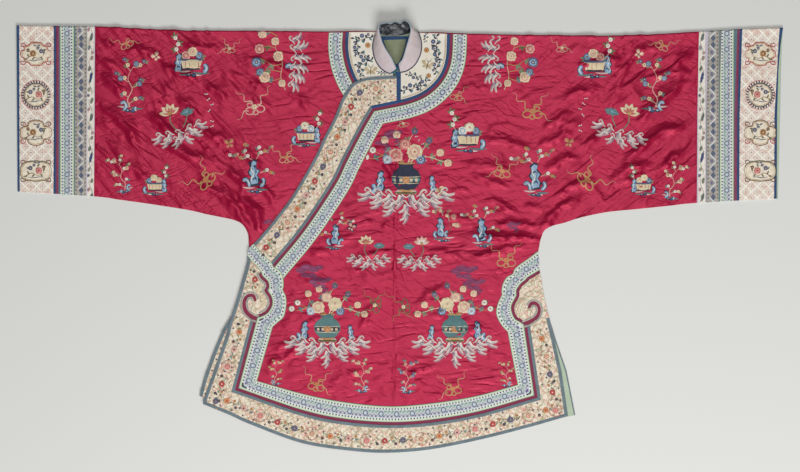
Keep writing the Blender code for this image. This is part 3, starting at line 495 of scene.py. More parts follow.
def place_along(points, line):
    """Nearest run along a line for each point: distance, way along and signed distance to its left."""
    points = np.asarray(points, float)
    line = np.array([point[:2] for point in line])
    nearest = np.full(len(points), np.inf)
    along = np.zeros(len(points))
    side = np.zeros(len(points))
    start_at = 0.0
    for start, end in zip(line, line[1:]):
        run = end - start
        length = math.hypot(*run)
        rel = points - start
        t = np.clip((rel @ run) / max(length * length, 1e-9), 0, 1)
        gap = rel - t[:, None] * run
        distance = np.hypot(gap[:, 0], gap[:, 1])
        closer = distance < nearest - 1e-9
        nearest[closer] = distance[closer]
        along[closer] = start_at + t[closer] * length
        turn = run[0] * rel[:, 1] - run[1] * rel[:, 0]
        side[closer] = np.where(turn[closer] >= 0, distance[closer], -distance[closer])
        start_at += length
    return nearest, along, side


def distance_to(points, line):
    return place_along(points, line)[0]


def lies_on(points, line):
    return distance_to(points, line) < ON_LINE


# Heights

def ease(value, start, end):
    """A soft step from 0 at start to 1 at end."""
    t = np.clip((np.asarray(value, float) - start) / (end - start), 0, 1)
    return t * t * (3 - 2 * t)


def fold_heights(points, folds):
    """Rise of the cloth along the main creases, which are steeper on their lower side."""
    total = np.zeros(len(points))
    for number, (x0, y0, x1, y1, bow, width, height) in enumerate(folds):
        start, run = np.array((x0, y0), float), np.array((x1 - x0, y1 - y0), float)
        length = np.linalg.norm(run)
        margin = 2.4 * width
        near = np.flatnonzero(
            (points[:, 0] > min(x0, x1) - margin) & (points[:, 0] < max(x0, x1) + margin)
            & (points[:, 1] > min(y0, y1) - margin) & (points[:, 1] < max(y0, y1) + margin)
        )
        if not len(near):
            continue
        rel = points[near] - start
        t = (rel @ run) / length ** 2
        across = (run[0] * rel[:, 1] - run[1] * rel[:, 0]) / length
        wander = 0.22 * width * np.sin(t * 9 + number * 1.7) + 0.12 * width * np.sin(t * 21 + number)
        across = across - bow * np.sin(math.pi * np.clip(t, 0, 1)) - wander
        swell = ease(t, -0.12, 0.3) * (1 - ease(t, 0.62, 1.12))
        lower = across < 0 if x1 > x0 else across > 0
        spread = np.where(lower, 1.0, 1.7) * width * (0.45 + 0.55 * swell)
        s = np.clip((np.hypot(across, 1.2) - 1.2) / spread, 0, 1)
        total[near] += (1.45 * height * swell * (1 - s) ** 1.7) ** 3
    return total ** (1 / 3)


def wrinkle_heights(points, name, seed):
    """Lesser wrinkles of one stretch of cloth, long and narrow, sharper on their crests."""
    degrees, length, spacing, height = WRINKLES[name]
    cos, sin = heading(degrees)
    along = points[:, 0] * cos + points[:, 1] * sin
    across = points[:, 1] * cos - points[:, 0] * sin
    result = np.zeros(len(points))
    for i, (a, c) in enumerate(zip(along, across)):
        c = c + WRINKLE_DRIFT * noise.noise(Vector((a / 160, c / 120, seed + 20)))
        long_wave = noise.noise(Vector((a / length, c / spacing, seed)))
        short_wave = noise.noise(Vector((a / length * 2.1, c / spacing * 1.9, seed + 7)))
        crest = max(0.0, 1 - abs(long_wave) * 3.2)
        patchy = 0.5 + 0.9 * noise.noise(Vector((a / 120, c / 90, seed + 40)))
        crease = crest * crest * max(patchy, WRINKLE_LEAST)
        result[i] = height * (crease + 0.16 * short_wave + 0.25 * long_wave)
    return result


def roll_heights(points, shoulder, neck_x):
    """Rise of the front cloth towards the soft roll over the shoulder."""
    shoulder = np.array(sorted((point[:2] for point in shoulder), key=lambda point: point[0]))
    below = np.interp(points[:, 0], shoulder[:, 0], shoulder[:, 1]) - points[:, 1]
    fall = np.interp(below, [row[0] for row in ROLL_FALL], [row[1] for row in ROLL_FALL])
    return ROLL_RISE * fall * np.clip(np.abs(points[:, 0] - neck_x) / NECK_EASE, 0, 1)


def flat_places(points):
    """How free the cloth is to wrinkle: least in the cuffs."""
    x = points[:, 0]
    right, left = CALM_X
    return np.clip((1 - ease(x, *left)) * ease(x, *right), CALM_SHARE, 1)


def inner_levels(points):
    """Underside of the right half's front, which runs on below the overlap."""
    points = np.asarray(points, float)
    covered = inside(points, OUTER_OUTLINE)
    fade = np.where(covered, 0, np.clip(distance_to(points, CLOSING) / FOLD_FADE, 0, 1))
    fade = fade * ease(distance_to(points, inner_yoke_edge()), 0, YOKE_FADE)
    start, end = RIGHT_SLEEVE_X
    folds = fold_heights(points, SLEEVE_FOLDS)
    folds = folds + wrinkle_heights(points, "right_sleeve", 3) * ease(-points[:, 0], start, end)
    folds = folds + wrinkle_heights(points, "body", 11) * ease(points[:, 0], -end, -start)
    folds = np.maximum(folds, 0) * fade * flat_places(points)
    return FRONT_LEVEL + folds + roll_heights(points, RIGHT_TOP, RIGHT_NECK[0][0])


def outer_levels(points):
    """Underside of the overlap and of the left half's front."""
    points = np.asarray(points, float)
    rise = np.interp(points[:, 0], (OVERLAP_FULL_X, OVERLAP_NONE_X), (OVERLAP_RISE, 0))
    free = flat_places(points) * satin_room(points)
    folds = fold_heights(points, OUTER_FOLDS)
    sleeve = ease(points[:, 0], *LEFT_SLEEVE_X)
    folds = folds + wrinkle_heights(points, "left_sleeve", 5) * sleeve
    body = wrinkle_heights(points, "body", 23) + wrinkle_heights(points, "cross", 31)
    folds = folds + body * (1 - sleeve)
    folds = np.maximum(folds, 0) * free
    right_of_neck = points[:, 0] > LEFT_SHOULDER[0][0]
    roll = np.where(right_of_neck, roll_heights(points, LEFT_TOP, LEFT_SHOULDER[0][0]), 0)
    return FRONT_LEVEL + rise + folds + roll


def inner_yoke_edge():
    return offset(smooth(UNDER_GUIDE, 2 * EDGE_STEP), -RIBBON_EDGE)


def satin_room(points):
    """Share of the folds that each place keeps: small where ribbons and bands hold the satin flat."""
    body_side, *_ = ribbon_edges()
    guide = neck_guide()
    held = inside(points, body_side + HEM_REST) | inside(points, between(guide, -NECK_HOLD, RIBBON_EDGE))
    to_border = distance_to(points, body_side[::3])
    to_ribbon = distance_to(points, offset(guide, RIBBON_EDGE)[::3])
    free = ease(np.minimum(to_border, to_ribbon), 0, HELD_REACH)
    return np.where(held, HELD_SHARE, HELD_SHARE + (1 - HELD_SHARE) * free)


# Cutting a layer into pieces

class Layer:
    """Triangles of one layer of cloth, each marked with the panel and the trimming it belongs to."""

    def __init__(self, outline, panels, trimmings, levels, lines=(), spacing=(GRID_STEP, GRID_CLEARANCE)):
        self.outline = outline
        self.panels = panels
        self.trimmings = trimmings
        borders = [outline] + [area for _, area in panels] + [area for _, area in trimmings]
        points, edges = self.gather([border + border[:1] for border in borders])
        points, triangles = self.triangulate(points, edges)
        marks = self.mark(points, triangles)
        edges = self.changes(triangles, marks)
        kept = sorted({corner for edge in edges for corner in edge})
        place = {corner: i for i, corner in enumerate(kept)}
        points = [points[corner] for corner in kept]
        edges = [(place[a], place[b]) for a, b in edges]
        more_points, more_edges = self.gather(lines)
        edges += [(a + len(points), b + len(points)) for a, b in more_edges]
        points = points + more_points
        points += self.fill(points, edges, *spacing)
        points, triangles = self.triangulate(points, edges)
        marks = self.mark(points, triangles)
        self.points = np.array(points)
        self.triangles = [triangle for triangle, mark in zip(triangles, marks) if mark]
        self.marks = [mark for mark in marks if mark]
        self.heights = levels(self.points)
        self.trimming_of = {triangle: mark[1] for triangle, mark in zip(self.triangles, self.marks)}

    @staticmethod
    def gather(lines):
        """Points and edges of all the lines."""
        points, edges = [], []
        for line in lines:
            first = len(points)
            points += [np.array(point[:2], float) for point in line]
            edges += [(first + i, first + i + 1) for i in range(len(line) - 1)]
        return points, edges

    @staticmethod
    def triangulate(points, edges):
        """Triangles that keep to the edges, all facing up, without the flat ones."""
        found = delaunay_2d_cdt([Vector(point) for point in points], edges, [], 0, MERGE, False)
        places = np.array([tuple(point) for point in found[0]])
        corners = np.array(found[2])
        u = places[corners[:, 1]] - places[corners[:, 0]]
        v = places[corners[:, 2]] - places[corners[:, 0]]
        area = u[:, 0] * v[:, 1] - u[:, 1] * v[:, 0]
        longest = np.maximum(np.hypot(*u.T), np.maximum(np.hypot(*v.T), np.hypot(*(u - v).T)))
        turned = np.where((area < 0)[:, None], corners[:, [0, 2, 1]], corners)
        kept = turned[np.abs(area) > FLAT * longest]
        return list(places), [tuple(int(corner) for corner in row) for row in kept]

    def mark(self, points, triangles):
        """The panel and the trimming of each triangle, or nothing outside the outline."""
        points = np.array(points)
        middles = points[np.array(triangles)].mean(axis=1)
        held = inside(middles, self.outline)
        panel = self.first_match(middles, self.panels)
        trimming = self.first_match(middles, self.trimmings)
        return [(p, t) if h else None for h, p, t in zip(held, panel, trimming)]

    @staticmethod
    def first_match(middles, areas):
        """Name of the first area that each place lies in."""
        names = [None] * len(middles)
        for name, area in reversed(areas):
            for i in np.flatnonzero(inside(middles, area)):
                names[i] = name
        return names

    @staticmethod
    def changes(triangles, marks):
        """Edges between triangles of unlike marks, and at the outline."""
        seen = {}
        for triangle, mark in zip(triangles, marks):
            for i in range(3):
                edge = tuple(sorted((triangle[i], triangle[(i + 1) % 3])))
                seen.setdefault(edge, []).append(mark)
        return [edge for edge, found in seen.items() if (found + [None])[0] != (found + [None])[1]]

    def fill(self, points, edges, grid, clearance):
        """Spots in staggered rows inside the outline, clear of every edge."""
        corners = np.array([point[:2] for point in self.outline])
        low, high = corners.min(axis=0), corners.max(axis=0)
        spots = []
        for j, y in enumerate(np.arange(low[1] + grid / 2, high[1], grid * 0.87)):
            for x in np.arange(low[0] + grid / 2 * (1 + j % 2), high[0], grid):
                spots.append((x, y))
        spots = np.array(spots).reshape(-1, 2)
        spots = spots[inside(spots, self.outline)]
        samples = []
        for a, b in edges:
            pieces = max(1, math.ceil(np.linalg.norm(points[b] - points[a]) / 2))
            samples += [points[a] + (points[b] - points[a]) * k / pieces for k in range(pieces + 1)]
        tree = kdtree.KDTree(len(samples))
        for i, sample in enumerate(samples):
            tree.insert((sample[0], sample[1], 0), i)
        tree.balance()
        return [spot for spot in spots if tree.find((spot[0], spot[1], 0))[2] > clearance]

    def pieces(self, kind, name):
        """Connected groups of the triangles of one panel (kind 0) or trimming (kind 1)."""
        chosen = [t for t, mark in zip(self.triangles, self.marks) if mark[kind] == name]
        by_edge = {}
        for i, triangle in enumerate(chosen):
            for k in range(3):
                by_edge.setdefault(frozenset((triangle[k], triangle[(k + 1) % 3])), []).append(i)
        group = list(range(len(chosen)))

        def root(i):
            while group[i] != i:
                group[i] = group[group[i]]
                i = group[i]
            return i

        for sharing in by_edge.values():
            for i in sharing[1:]:
                group[root(i)] = root(sharing[0])
        found = {}
        for i, triangle in enumerate(chosen):
            found.setdefault(root(i), []).append(triangle)
        return sorted(found.values(), key=len, reverse=True)

    def grounds(self, piece):
        """1 for each triangle that shows as a strip between trimmings, else 0."""
        return [1 if self.trimming_of[triangle] == "ground_strip" else 0 for triangle in piece]

    def cut(self, piece):
        """Places, heights and triangles of one piece alone."""
        corners = sorted({corner for triangle in piece for corner in triangle})
        place = {corner: i for i, corner in enumerate(corners)}
        triangles = [tuple(place[corner] for corner in triangle) for triangle in piece]
        return self.points[corners], self.heights[corners], triangles


def border_edges(faces):
    """Edges with a face on one side only, in that face's direction."""
    directed = {(face[k], face[(k + 1) % len(face)]) for face in faces for k in range(len(face))}
    return [(a, b) for a, b in directed if (b, a) not in directed]


# Ways along and across each strip of cloth, for its pattern

def neck_guide():
    """The inner edge of the piping round the neck and down the closing."""
    corner = straight([NECK_GUIDE[-1], CLOSING_CORNER], EDGE_STEP)
    return join(smooth(NECK_GUIDE, EDGE_STEP), corner, smooth(CLOSING_GUIDE, EDGE_STEP))


def border_strip(points):
    """Along the border ribbon, and across it from its body side to its hem side."""
    body_side, hem_side, *_ = ribbon_edges()
    middle = [(a + b) / 2 for a, b in zip(body_side, hem_side)]
    _, along, _ = place_along(points, middle)
    to_body, to_hem = distance_to(points, body_side), distance_to(points, hem_side)
    return np.column_stack((along, RIBBON * 0.5 * (to_body - to_hem) / np.maximum(to_body + to_hem, 0.01)))


def beside(line, centre=0.0):
    """Along a line, and across it from a parallel at that distance to its left."""
    def strip(points):
        _, along, side = place_along(points, line)
        return np.column_stack((along, side - centre))
    return strip


def cuff_strip(middle):
    """Along the sleeve's end, and across from a strip's middle."""
    def strip(points):
        return np.column_stack((points[:, 1], points[:, 0] - middle))
    return strip


def plain_strip(points):
    """Along x and across y, for cloth without a pattern."""
    return np.array(points)[:, :2]


# Meshes

def add_object(name, data):
    """Puts a new object in the scene."""
    made = bpy.data.objects.new(name, data)
    bpy.context.collection.objects.link(made)
    return made


def cloth_mesh(name, points, faces, strip, finishes, finish_of):
    """A mesh of cloth with its pattern's coordinates and one finish per face."""
    mesh = bpy.data.meshes.new(name)
    mesh.from_pydata([tuple(point) for point in np.asarray(points) * MM], [], faces)
    layer = mesh.uv_layers.new(name="strip")
    corners = np.zeros(len(mesh.loops), int)
    mesh.loops.foreach_get("vertex_index", corners)
    layer.data.foreach_set("uv", (np.asarray(strip) * MM)[corners].ravel())
    for finish in finishes:
        mesh.materials.append(FINISHES[finish])
    if len(finishes) > 1:
        mesh.polygons.foreach_set("material_index", np.array(finish_of, int))
    mesh.shade_smooth()
    mesh.set_sharp_from_angle(angle=math.radians(SHARP_ANGLE))
    made = add_object(name, mesh)
    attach(made, "root")
    return made


def thick_sheet(name, outer, inner, faces, strip, finishes, finish_of=None, lining=None):
    """A closed wall of cloth from its outer points, its inner points and the faces of its outer side."""
    count = len(outer)
    faces = [tuple(face) for face in faces]
    finish_of = list(finish_of) if finish_of is not None else [0] * len(faces)
    solid = faces + [tuple(corner + count for corner in reversed(face)) for face in faces]
    finish_of = finish_of + (finish_of if lining is None else [len(finishes)] * len(faces))
    finishes = list(finishes) + ([] if lining is None else [lining])
    for a, b in sorted(border_edges(faces)):
        solid.append((b, a, a + count, b + count))
        finish_of.append(0)
    return cloth_mesh(name, np.vstack((outer, inner)), solid, np.vstack((strip, strip)), finishes, finish_of)


def soft_edge(triangles, places):
    """How far each point's top lies below the cloth's crown: the edges drop, but not at the centre seam."""
    drop = np.zeros(len(places))
    for a, b in border_edges(triangles):
        drop[a] = drop[b] = EDGE_DROP
    drop[distance_to(places, CENTRE_SEAM) < SEAM_WIDTH] = 0
    return drop


def flat_piece(node, finish, layer, kind, area, lift, strip):
    """A trimming or a plain patch of one layer, lifted off the layer's level."""
    made = []
    for number, piece in enumerate(layer.pieces(kind, area)):
        places, heights, triangles = layer.cut(piece)
        if len(triangles) < LEAST_TRIANGLES:
            continue
        top = heights + lift + WALL - soft_edge(triangles, places)
        outer = np.column_stack((places, top))
        inner = np.column_stack((places, heights + lift))
        label = node + "_cloth" if number == 0 else "%s_cloth_%d" % (node, number + 1)
        grounds = layer.grounds(piece) if kind == 0 else None
        finishes = [finish] if grounds is None else [finish, "strip_satin"]
        made.append(thick_sheet(label, outer, inner, triangles, strip(places), finishes, grounds))
    return made


def partners(places, back_places, corners, node):
    """The back's point that meets each of the front's corners on the shoulder line."""
    tree = kdtree.KDTree(len(back_places))
    for i, (x, y) in enumerate(back_places):
        tree.insert((x, y, 0), i)
    tree.balance()
    found = {}
    for i in corners:
        _, nearest, gap = tree.find((*places[i], 0))
        assert gap < LARGEST_GAP, "%s: a shoulder point has no partner on the back" % node
        found[i] = nearest
    return found


def shoulder_roll(outer, inner, edges, partner):
    """Adds half a turn of cloth from each front point to its partner, and gives the faces between."""
    rows = {}
    for i, other in partner.items():
        x, y, top = outer[i]
        x_back, y_back, _ = outer[other]
        radius, hollow = top / 2, (inner[i][2] - WALL) / 2
        rows[i] = [i]
        for k in range(1, ROLL_STEPS):
            t = k / ROLL_STEPS
            angle = math.pi * (0.5 - t)
            cos, sin = math.cos(angle), math.sin(angle)
            x_here, y_here = x + (x_back - x) * t, y + (y_back - y) * t
            rows[i].append(len(outer))
            outer.append((x_here, y_here + radius * cos, radius + radius * sin))
            inner.append((x_here, y_here + hollow * cos, WALL + hollow + hollow * sin))
        rows[i].append(other)
    faces = []
    for a, b in edges:
        for k in range(ROLL_STEPS):
            faces.append((rows[b][k], rows[a][k], rows[a][k + 1]))
            faces.append((rows[b][k], rows[a][k + 1], rows[b][k + 1]))
    return faces


def folded_panel(node, finish, front, back, shoulder, strip):
    """A panel cut in one with its back, folded over the shoulder in a soft roll."""
    front_piece, back_piece = front.pieces(0, node)[0], back.pieces(0, node)[0]
    places, heights, triangles = front.cut(front_piece)
    back_places, _, back_triangles = back.cut(back_piece)
    on_line = lies_on(places, shoulder)
    drop = np.where(on_line, 0, soft_edge(triangles, places))
    outer = [(x, y, z + WALL - low) for (x, y), z, low in zip(places, heights, drop)]
    inner = [(x, y, z) for (x, y), z in zip(places, heights)]
    first_back = len(outer)
    outer += [(x, y, 0.0) for x, y in back_places]
    inner += [(x, y, WALL) for x, y in back_places]
    faces = list(triangles)
    faces += [tuple(corner + first_back for corner in reversed(triangle)) for triangle in back_triangles]
    finish_of = ["ground_strip" if ground else None for ground in front.grounds(front_piece)]
    front_count = len(finish_of)
    finish_of += [back.trimming_of[triangle] for triangle in back_piece]
    edges = [(a, b) for a, b in border_edges(triangles) if on_line[a] and on_line[b]]
    partner = partners(places, back_places, {corner for edge in edges for corner in edge}, node)
    partner = {i: other + first_back for i, other in partner.items()}
    rolled = shoulder_roll(outer, inner, edges, partner)
    faces += rolled
    finish_of += [None] * len(rolled)
    finishes = [finish] + sorted({BACK_FINISH[name] for name in finish_of if name})
    numbers = [finishes.index(BACK_FINISH[name]) if name else 0 for name in finish_of]
    outer, inner = np.array(outer), np.array(inner)
    across = strip(outer[:, :2])
    on_back = {}
    for number, (face, name) in enumerate(zip(faces, finish_of)):
        if name and number >= front_count:
            for corner in face:
                on_back[corner] = name
    for name in set(on_back.values()):
        chosen = [corner for corner, found in on_back.items() if found == name]
        across[chosen] = BACK_STRIPS[name](outer[chosen, :2])
    return thick_sheet(node + "_cloth", outer, inner, faces, across, finishes, numbers, "green_lining")


def collar_rows():
    """Rows of points from foot to free edge in the middle of the collar's limp cloth, and their normals."""
    given = [np.array(row, float) for row in COLLAR]
    last = len(given) - 1
    stations = []
    for i in range(last):
        near = [given[max(i - 1, 0)], given[i], given[i + 1], given[min(i + 2, last)]]
        stations += [curve_point(*near, k / COLLAR_STEPS) for k in range(COLLAR_STEPS)]
    stations.append(given[-1])
    rows = np.zeros((len(stations), COLLAR_ROWS, 3))
    for i, station in enumerate(stations):
        foot, edge = station[:3], station[3:]
        for j in range(COLLAR_ROWS):
            t = j / (COLLAR_ROWS - 1)
            rows[i, j, :2] = foot[:2] + (edge - foot)[:2] * t
            rows[i, j, 2] = foot[2] + (edge - foot)[2] * math.sin(t * math.pi / 2)
    normal = np.cross(np.gradient(rows, axis=1), np.gradient(rows, axis=0))
    normal /= np.linalg.norm(normal, axis=2)[:, :, None]
    for i in range(len(stations)):
        limp = COLLAR_LIMP + COLLAR_LIMPER * ease(rows[i, 0, 1], *COLLAR_BACK)
        for j in range(COLLAR_ROWS):
            t = j / (COLLAR_ROWS - 1)
            place = Vector((i * 0.16, j * 0.09, 3))
            soft = 0.5 * noise.noise(place) + 0.35 * noise.noise(place * 2.3)
            rows[i, j] += normal[i, j] * (soft * limp * math.sin(math.pi * min(t * 1.1, 1)))
    return rows, normal


def collar():
    """The stand collar, round the neck from one front end to the other."""
    rows, normal = collar_rows()
    half = COLLAR_WALL / 2 * np.ones((1, COLLAR_ROWS, 1))
    half[0, -1, 0] *= COLLAR_THIN
    outer = (rows + normal * half).reshape(-1, 3)
    inner = (rows - normal * half).reshape(-1, 3)
    strip, faces = [], []
    for i in range(len(rows)):
        strip += [(i * COLLAR_STRIP[0], j * COLLAR_STRIP[1]) for j in range(COLLAR_ROWS)]
    for i in range(len(rows) - 1):
        for j in range(COLLAR_ROWS - 1):
            a = i * COLLAR_ROWS + j
            b = a + COLLAR_ROWS
            faces += [(a, a + 1, b + 1), (a, b + 1, b)]
    made = thick_sheet("collar_cloth", outer, inner, faces, np.array(strip), ["collar_silk"])
    made.data.materials.append(FINISHES["collar_facing"])
    numbers = [0] * len(faces) + [1] * len(faces)
    numbers += [0] * (len(made.data.polygons) - len(numbers))
    made.data.polygons.foreach_set("material_index", numbers)
    edge = tube("collar_edge", rows[:, -1] - [0, 0, 0.6], 1.5, "pale_piping")
    foot = tube("collar_foot", rows[:, 0] + normal[:, 0] * 0.9 + [0, 0, 0.6], 1.3, "navy_cord")
    knot = tube("collar_knot", COLLAR_KNOT, 3.4, "blue_green_knot")
    return made, [edge, foot, knot]


def tube(name, line, radius, finish, sides=8):
    """A round cord sewn along a line."""
    line = np.array(line)
    along = np.gradient(line, axis=0)
    along /= np.linalg.norm(along, axis=1)[:, None]
    side = np.cross(along, (0, 0, 1.0))
    side /= np.linalg.norm(side, axis=1)[:, None]
    up = np.cross(side, along)
    points, strip, faces = [], [], []
    for i, middle in enumerate(line):
        taper = 0.35 if i in (0, len(line) - 1) else 1.0
        for k in range(sides):
            angle = 2 * math.pi * k / sides
            points.append(middle + radius * taper * (side[i] * math.cos(angle) + up[i] * math.sin(angle)))
            strip.append((i * 3.0, k * 1.0))
    for i in range(len(line) - 1):
        for k in range(sides):
            a, b = i * sides + k, i * sides + (k + 1) % sides
            faces.append((a, b, b + sides, a + sides))
    faces.append(tuple(range(sides))[::-1])
    faces.append(tuple(range((len(line) - 1) * sides, len(line) * sides)))
    return cloth_mesh(name, points, faces, strip, [finish], None)


# The coat's layers

def cuff_areas(side):
    """Areas of a cuff's strips, from the sleeve's end inwards."""
    areas, outer = [], [(BEYOND_SLEEVE[side], height) for height in CUFF_HEIGHTS]
    for name, *across in CUFFS[side]:
        line = list(zip(across, CUFF_HEIGHTS))
        areas.append(("%s_cuff_%s" % (side, name), outer + line[::-1]))
        outer = line
    return areas


def cuff_middles(side):
    """The x of the middle of each strip of a cuff."""
    middles, outer = {}, SLEEVE_ENDS[side]
    for name, _, middle, _ in CUFFS[side]:
        middles[name] = (outer + middle) / 2
        outer = middle
    return middles


def crown_lines(side):
    """Middle lines of a cuff's narrow strips, which stand proud of the seams beside them."""
    lines, outer = [], [SLEEVE_ENDS[side]] * 3
    lowest, highest = CROWN_SPAN
    for name, *across in CUFFS[side]:
        if name in ("binding", "piping", "strip"):
            middle = [((a + b) / 2, y) for a, b, y in zip(outer, across, CUFF_HEIGHTS)]
            lines.append([(x, y) for x, y in straight(middle, EDGE_STEP) if lowest < y < highest])
        outer = across
    return lines


def roll_lines(shoulder):
    """Lines below the shoulder that carry its soft roll."""
    return [offset(shoulder, -distance)[1:-1] for distance in ROLL_LINES]


RIGHT_TOP = straight(RIGHT_SHOULDER, EDGE_STEP)
LEFT_TOP = straight(LEFT_SHOULDER, EDGE_STEP)
CLOSING = smooth(CLOSING_EDGE, EDGE_STEP)
OVERLAP_EDGE = smooth(OVERLAP_SIDE, EDGE_STEP)
HEM = smooth(FRONT_HEM, EDGE_STEP)
SLIT = straight(LEFT_SLIT, EDGE_STEP)
LEFT_NECKLINE = smooth(LEFT_NECK, NECK_STEP)
RIGHT_NECKLINE = smooth(RIGHT_NECK, NECK_STEP)
LEFT_ARM = smooth(LEFT_UNDERARM, EDGE_STEP)
RIGHT_ARM = smooth(RIGHT_UNDERARM, EDGE_STEP)
FRONT_EDGE = join(OVERLAP_EDGE[::-1], HEM[::-1], SLIT[::-1])

OUTER_OUTLINE = join(
    LEFT_TOP, straight(LEFT_CUFF_EDGE, EDGE_STEP), LEFT_ARM, smooth(LEFT_SIDE, EDGE_STEP), SLIT, HEM,
    OVERLAP_EDGE, CLOSING,
) + [np.array((-8.0, 380.0))] + LEFT_NECKLINE[:-1]
INNER_OUTLINE = join(
    RIGHT_TOP, RIGHT_NECKLINE, straight([RIGHT_NECK[-1], UNDERLAP_HEM[0]], COARSE_STEP),
    smooth(UNDERLAP_HEM, COARSE_STEP), smooth(UNDERLAP_SIDE, EDGE_STEP), smooth(UNDERLAP_SEAM, EDGE_STEP),
    RIGHT_ARM,
)


def border_areas():
    """Areas of the border ribbon, the satin strip and slots beside it, and the hem's piping."""
    body_side, hem_side, left_notch, upright_start, upright_end = ribbon_edges()
    return [
        ("border_ribbon", body_side + hem_side[::-1]),
        ("ground_strip", between(hem_side[left_notch:], 0, -GROUND_STRIP)),
        ("ground_strip", curl(LEFT_CURL)),
        ("ground_strip", curl(RIGHT_CURL)),
        ("hem_piping", between(hem_side[upright_start:upright_end], -GROUND_STRIP, -GROUND_STRIP - PIPING)),
    ]


def neck_areas(guide, way, piping, ribbon):
    """Areas of a piping, a satin strip and a ribbon, from their guide on to its left (1) or right (-1)."""
    return [
        (piping, between(guide, 0, way * PIPING)),
        ("ground_strip", between(guide, way * PIPING, way * STRIP_EDGE)),
        (ribbon, between(guide, way * STRIP_EDGE, way * RIBBON_EDGE)),
    ]


# Where nothing bounds a panel or a trimming, its area runs on beyond the cloth's outline

def outer_layer():
    """The overlap and the left half's front with their trimmings."""
    _, hem_side, _, upright_start, upright_end = ribbon_edges()
    guide = neck_guide()
    ring = smooth(NECK_GUIDE, EDGE_STEP)
    panels = cuff_areas("left") + [
        ("overlap", [(-600, 420)] + list(CENTRE_SEAM) + [(-600, -520)]),
        ("left_half", [(-3, 520), (-3, 400)] + list(CENTRE_SEAM[1:]) + [(900, -520), (900, 520)]),
    ]
    trimmings = border_areas() + [
        ("hem_binding", between(FRONT_EDGE, -OVERHANG, BINDING)),
        ("hem_band", FRONT_EDGE + [(343, -100), (345, -40)] + hem_side[::-1]),
        ("placket", PLACKET),
        ("closing_binding", between(CLOSING[1:], OVERHANG, -CLOSING_BINDING)),
        ("neck_piping", between(ring, 0, PIPING)),
    ]
    trimmings += neck_areas(guide, 1, "closing_piping", "neck_ribbon") + [
        ("closing_band", CLOSING + [(-3, 371)] + guide[len(ring) - 1:]),
        ("left_yoke", ring + [(-3, 520), (108, 520)]),
    ]
    lines = roll_lines(LEFT_TOP[2:]) + crown_lines("left") + [
        offset(FRONT_EDGE, BINDING / 2)[1:-1],
        offset(hem_side[upright_start:upright_end], -GROUND_STRIP - PIPING / 2)[1:-1],
        offset(CLOSING[3:], -CLOSING_BINDING / 2)[:-2],
        offset(guide, PIPING / 2)[4:-8],
    ]
    return Layer(OUTER_OUTLINE, panels, trimmings, outer_levels, lines)


def inner_layer():
    """The right half's front with the underlap and their trimmings."""
    guide = smooth(UNDER_GUIDE, EDGE_STEP)
    side = smooth(UNDERLAP_SIDE, EDGE_STEP)[::-1]
    covered = offset(CLOSING[2:], -COVERED)
    panels = cuff_areas("right")
    panels.append(("right_half", [(-900, 520), (100, 520), (100, -520), (-900, -520)]))
    trimmings = [
        ("underlap_binding", between(side, -OVERHANG, BINDING)),
        ("underlap_band", between(side, BINDING, BINDING + BAND / 2)),
        ("ground_strip", covered + [(0, 359), (60, 359), (60, -60), (-300, -60)]),
    ]
    trimmings += neck_areas(guide, -1, "under_piping", "under_ribbon")
    trimmings.append(("right_yoke", guide + [(0, 316), (0, 520), (-117, 520)]))
    lines = roll_lines(RIGHT_TOP[:-2]) + crown_lines("right")
    lines += [offset(guide, -PIPING / 2)[4:-2], offset(side, BINDING / 2)[1:-1]]
    return Layer(INNER_OUTLINE, panels, trimmings, inner_levels, lines)


def back_half(node, x):
    """Area of the back's half on the side where x lies."""
    (top_x, _), (foot_x, _) = BACK_SEAM
    return node, [(x, 520), (top_x, 520)] + BACK_SEAM + [(foot_x, -520), (x, -520)]


def back_layer(inner, outer):
    """The back, whose trimmings are the same as the front's but go right across."""
    def shoulder_points(layer, line):
        return sorted(layer.points[lies_on(layer.points, line)], key=lambda point: point[0])

    _, hem_side, *_ = ribbon_edges()
    neck = smooth(BACK_NECK_GUIDE, EDGE_STEP)
    edge = join(
        straight(BACK_LEFT_SLIT, EDGE_STEP), smooth(BACK_HEM, EDGE_STEP), smooth(BACK_RIGHT_SLIT, EDGE_STEP),
    )
    outline = join(
        shoulder_points(inner, RIGHT_TOP), straight(BACK_NECK, EDGE_STEP), shoulder_points(outer, LEFT_TOP),
        straight(BACK_CUFF_EDGE, COARSE_STEP), LEFT_ARM, smooth(LEFT_SIDE, EDGE_STEP), edge,
        smooth(BACK_RIGHT_SEAM, EDGE_STEP), RIGHT_ARM,
    )
    panels = cuff_areas("right") + cuff_areas("left")
    panels += [back_half("right_half", -900), back_half("left_half", 900)]
    hem = [(-346, -30), (-400, -60), (-480, -300), (-480, -520), (420, -520), (420, -100), (345, -40)]
    trimmings = border_areas() + [
        ("hem_binding", between(edge, OVERHANG, -BINDING)),
        ("hem_band", hem + hem_side[::-1]),
    ]
    trimmings += neck_areas(neck, -1, "neck_piping", "neck_ribbon")
    trimmings.append(("yoke", neck + [(-117, 520), (108, 520)]))
    spacing = (BACK_GRID, BACK_CLEARANCE)
    return Layer(outline, panels, trimmings, lambda points: np.zeros(len(points)), spacing=spacing)


def neck_layer(level):
    """The cloth seen through the neck opening, with the rim round it and the V that stays open."""
    top = straight([NECK_OPENING[-1], NECK_OPENING[0]], EDGE_STEP)
    outline = join(smooth(NECK_OPENING, NECK_STEP), top)

    def levels(points):
        waves = [noise.noise(Vector((x / 19, y / 26, 4.0))) for x, y in points]
        return level + 0.35 * np.array(waves)

    panels = [("vee", NECK_VEE), ("rim", outline)]
    return Layer(outline, panels, [("lining", outline)], levels, spacing=(4, GRID_CLEARANCE))


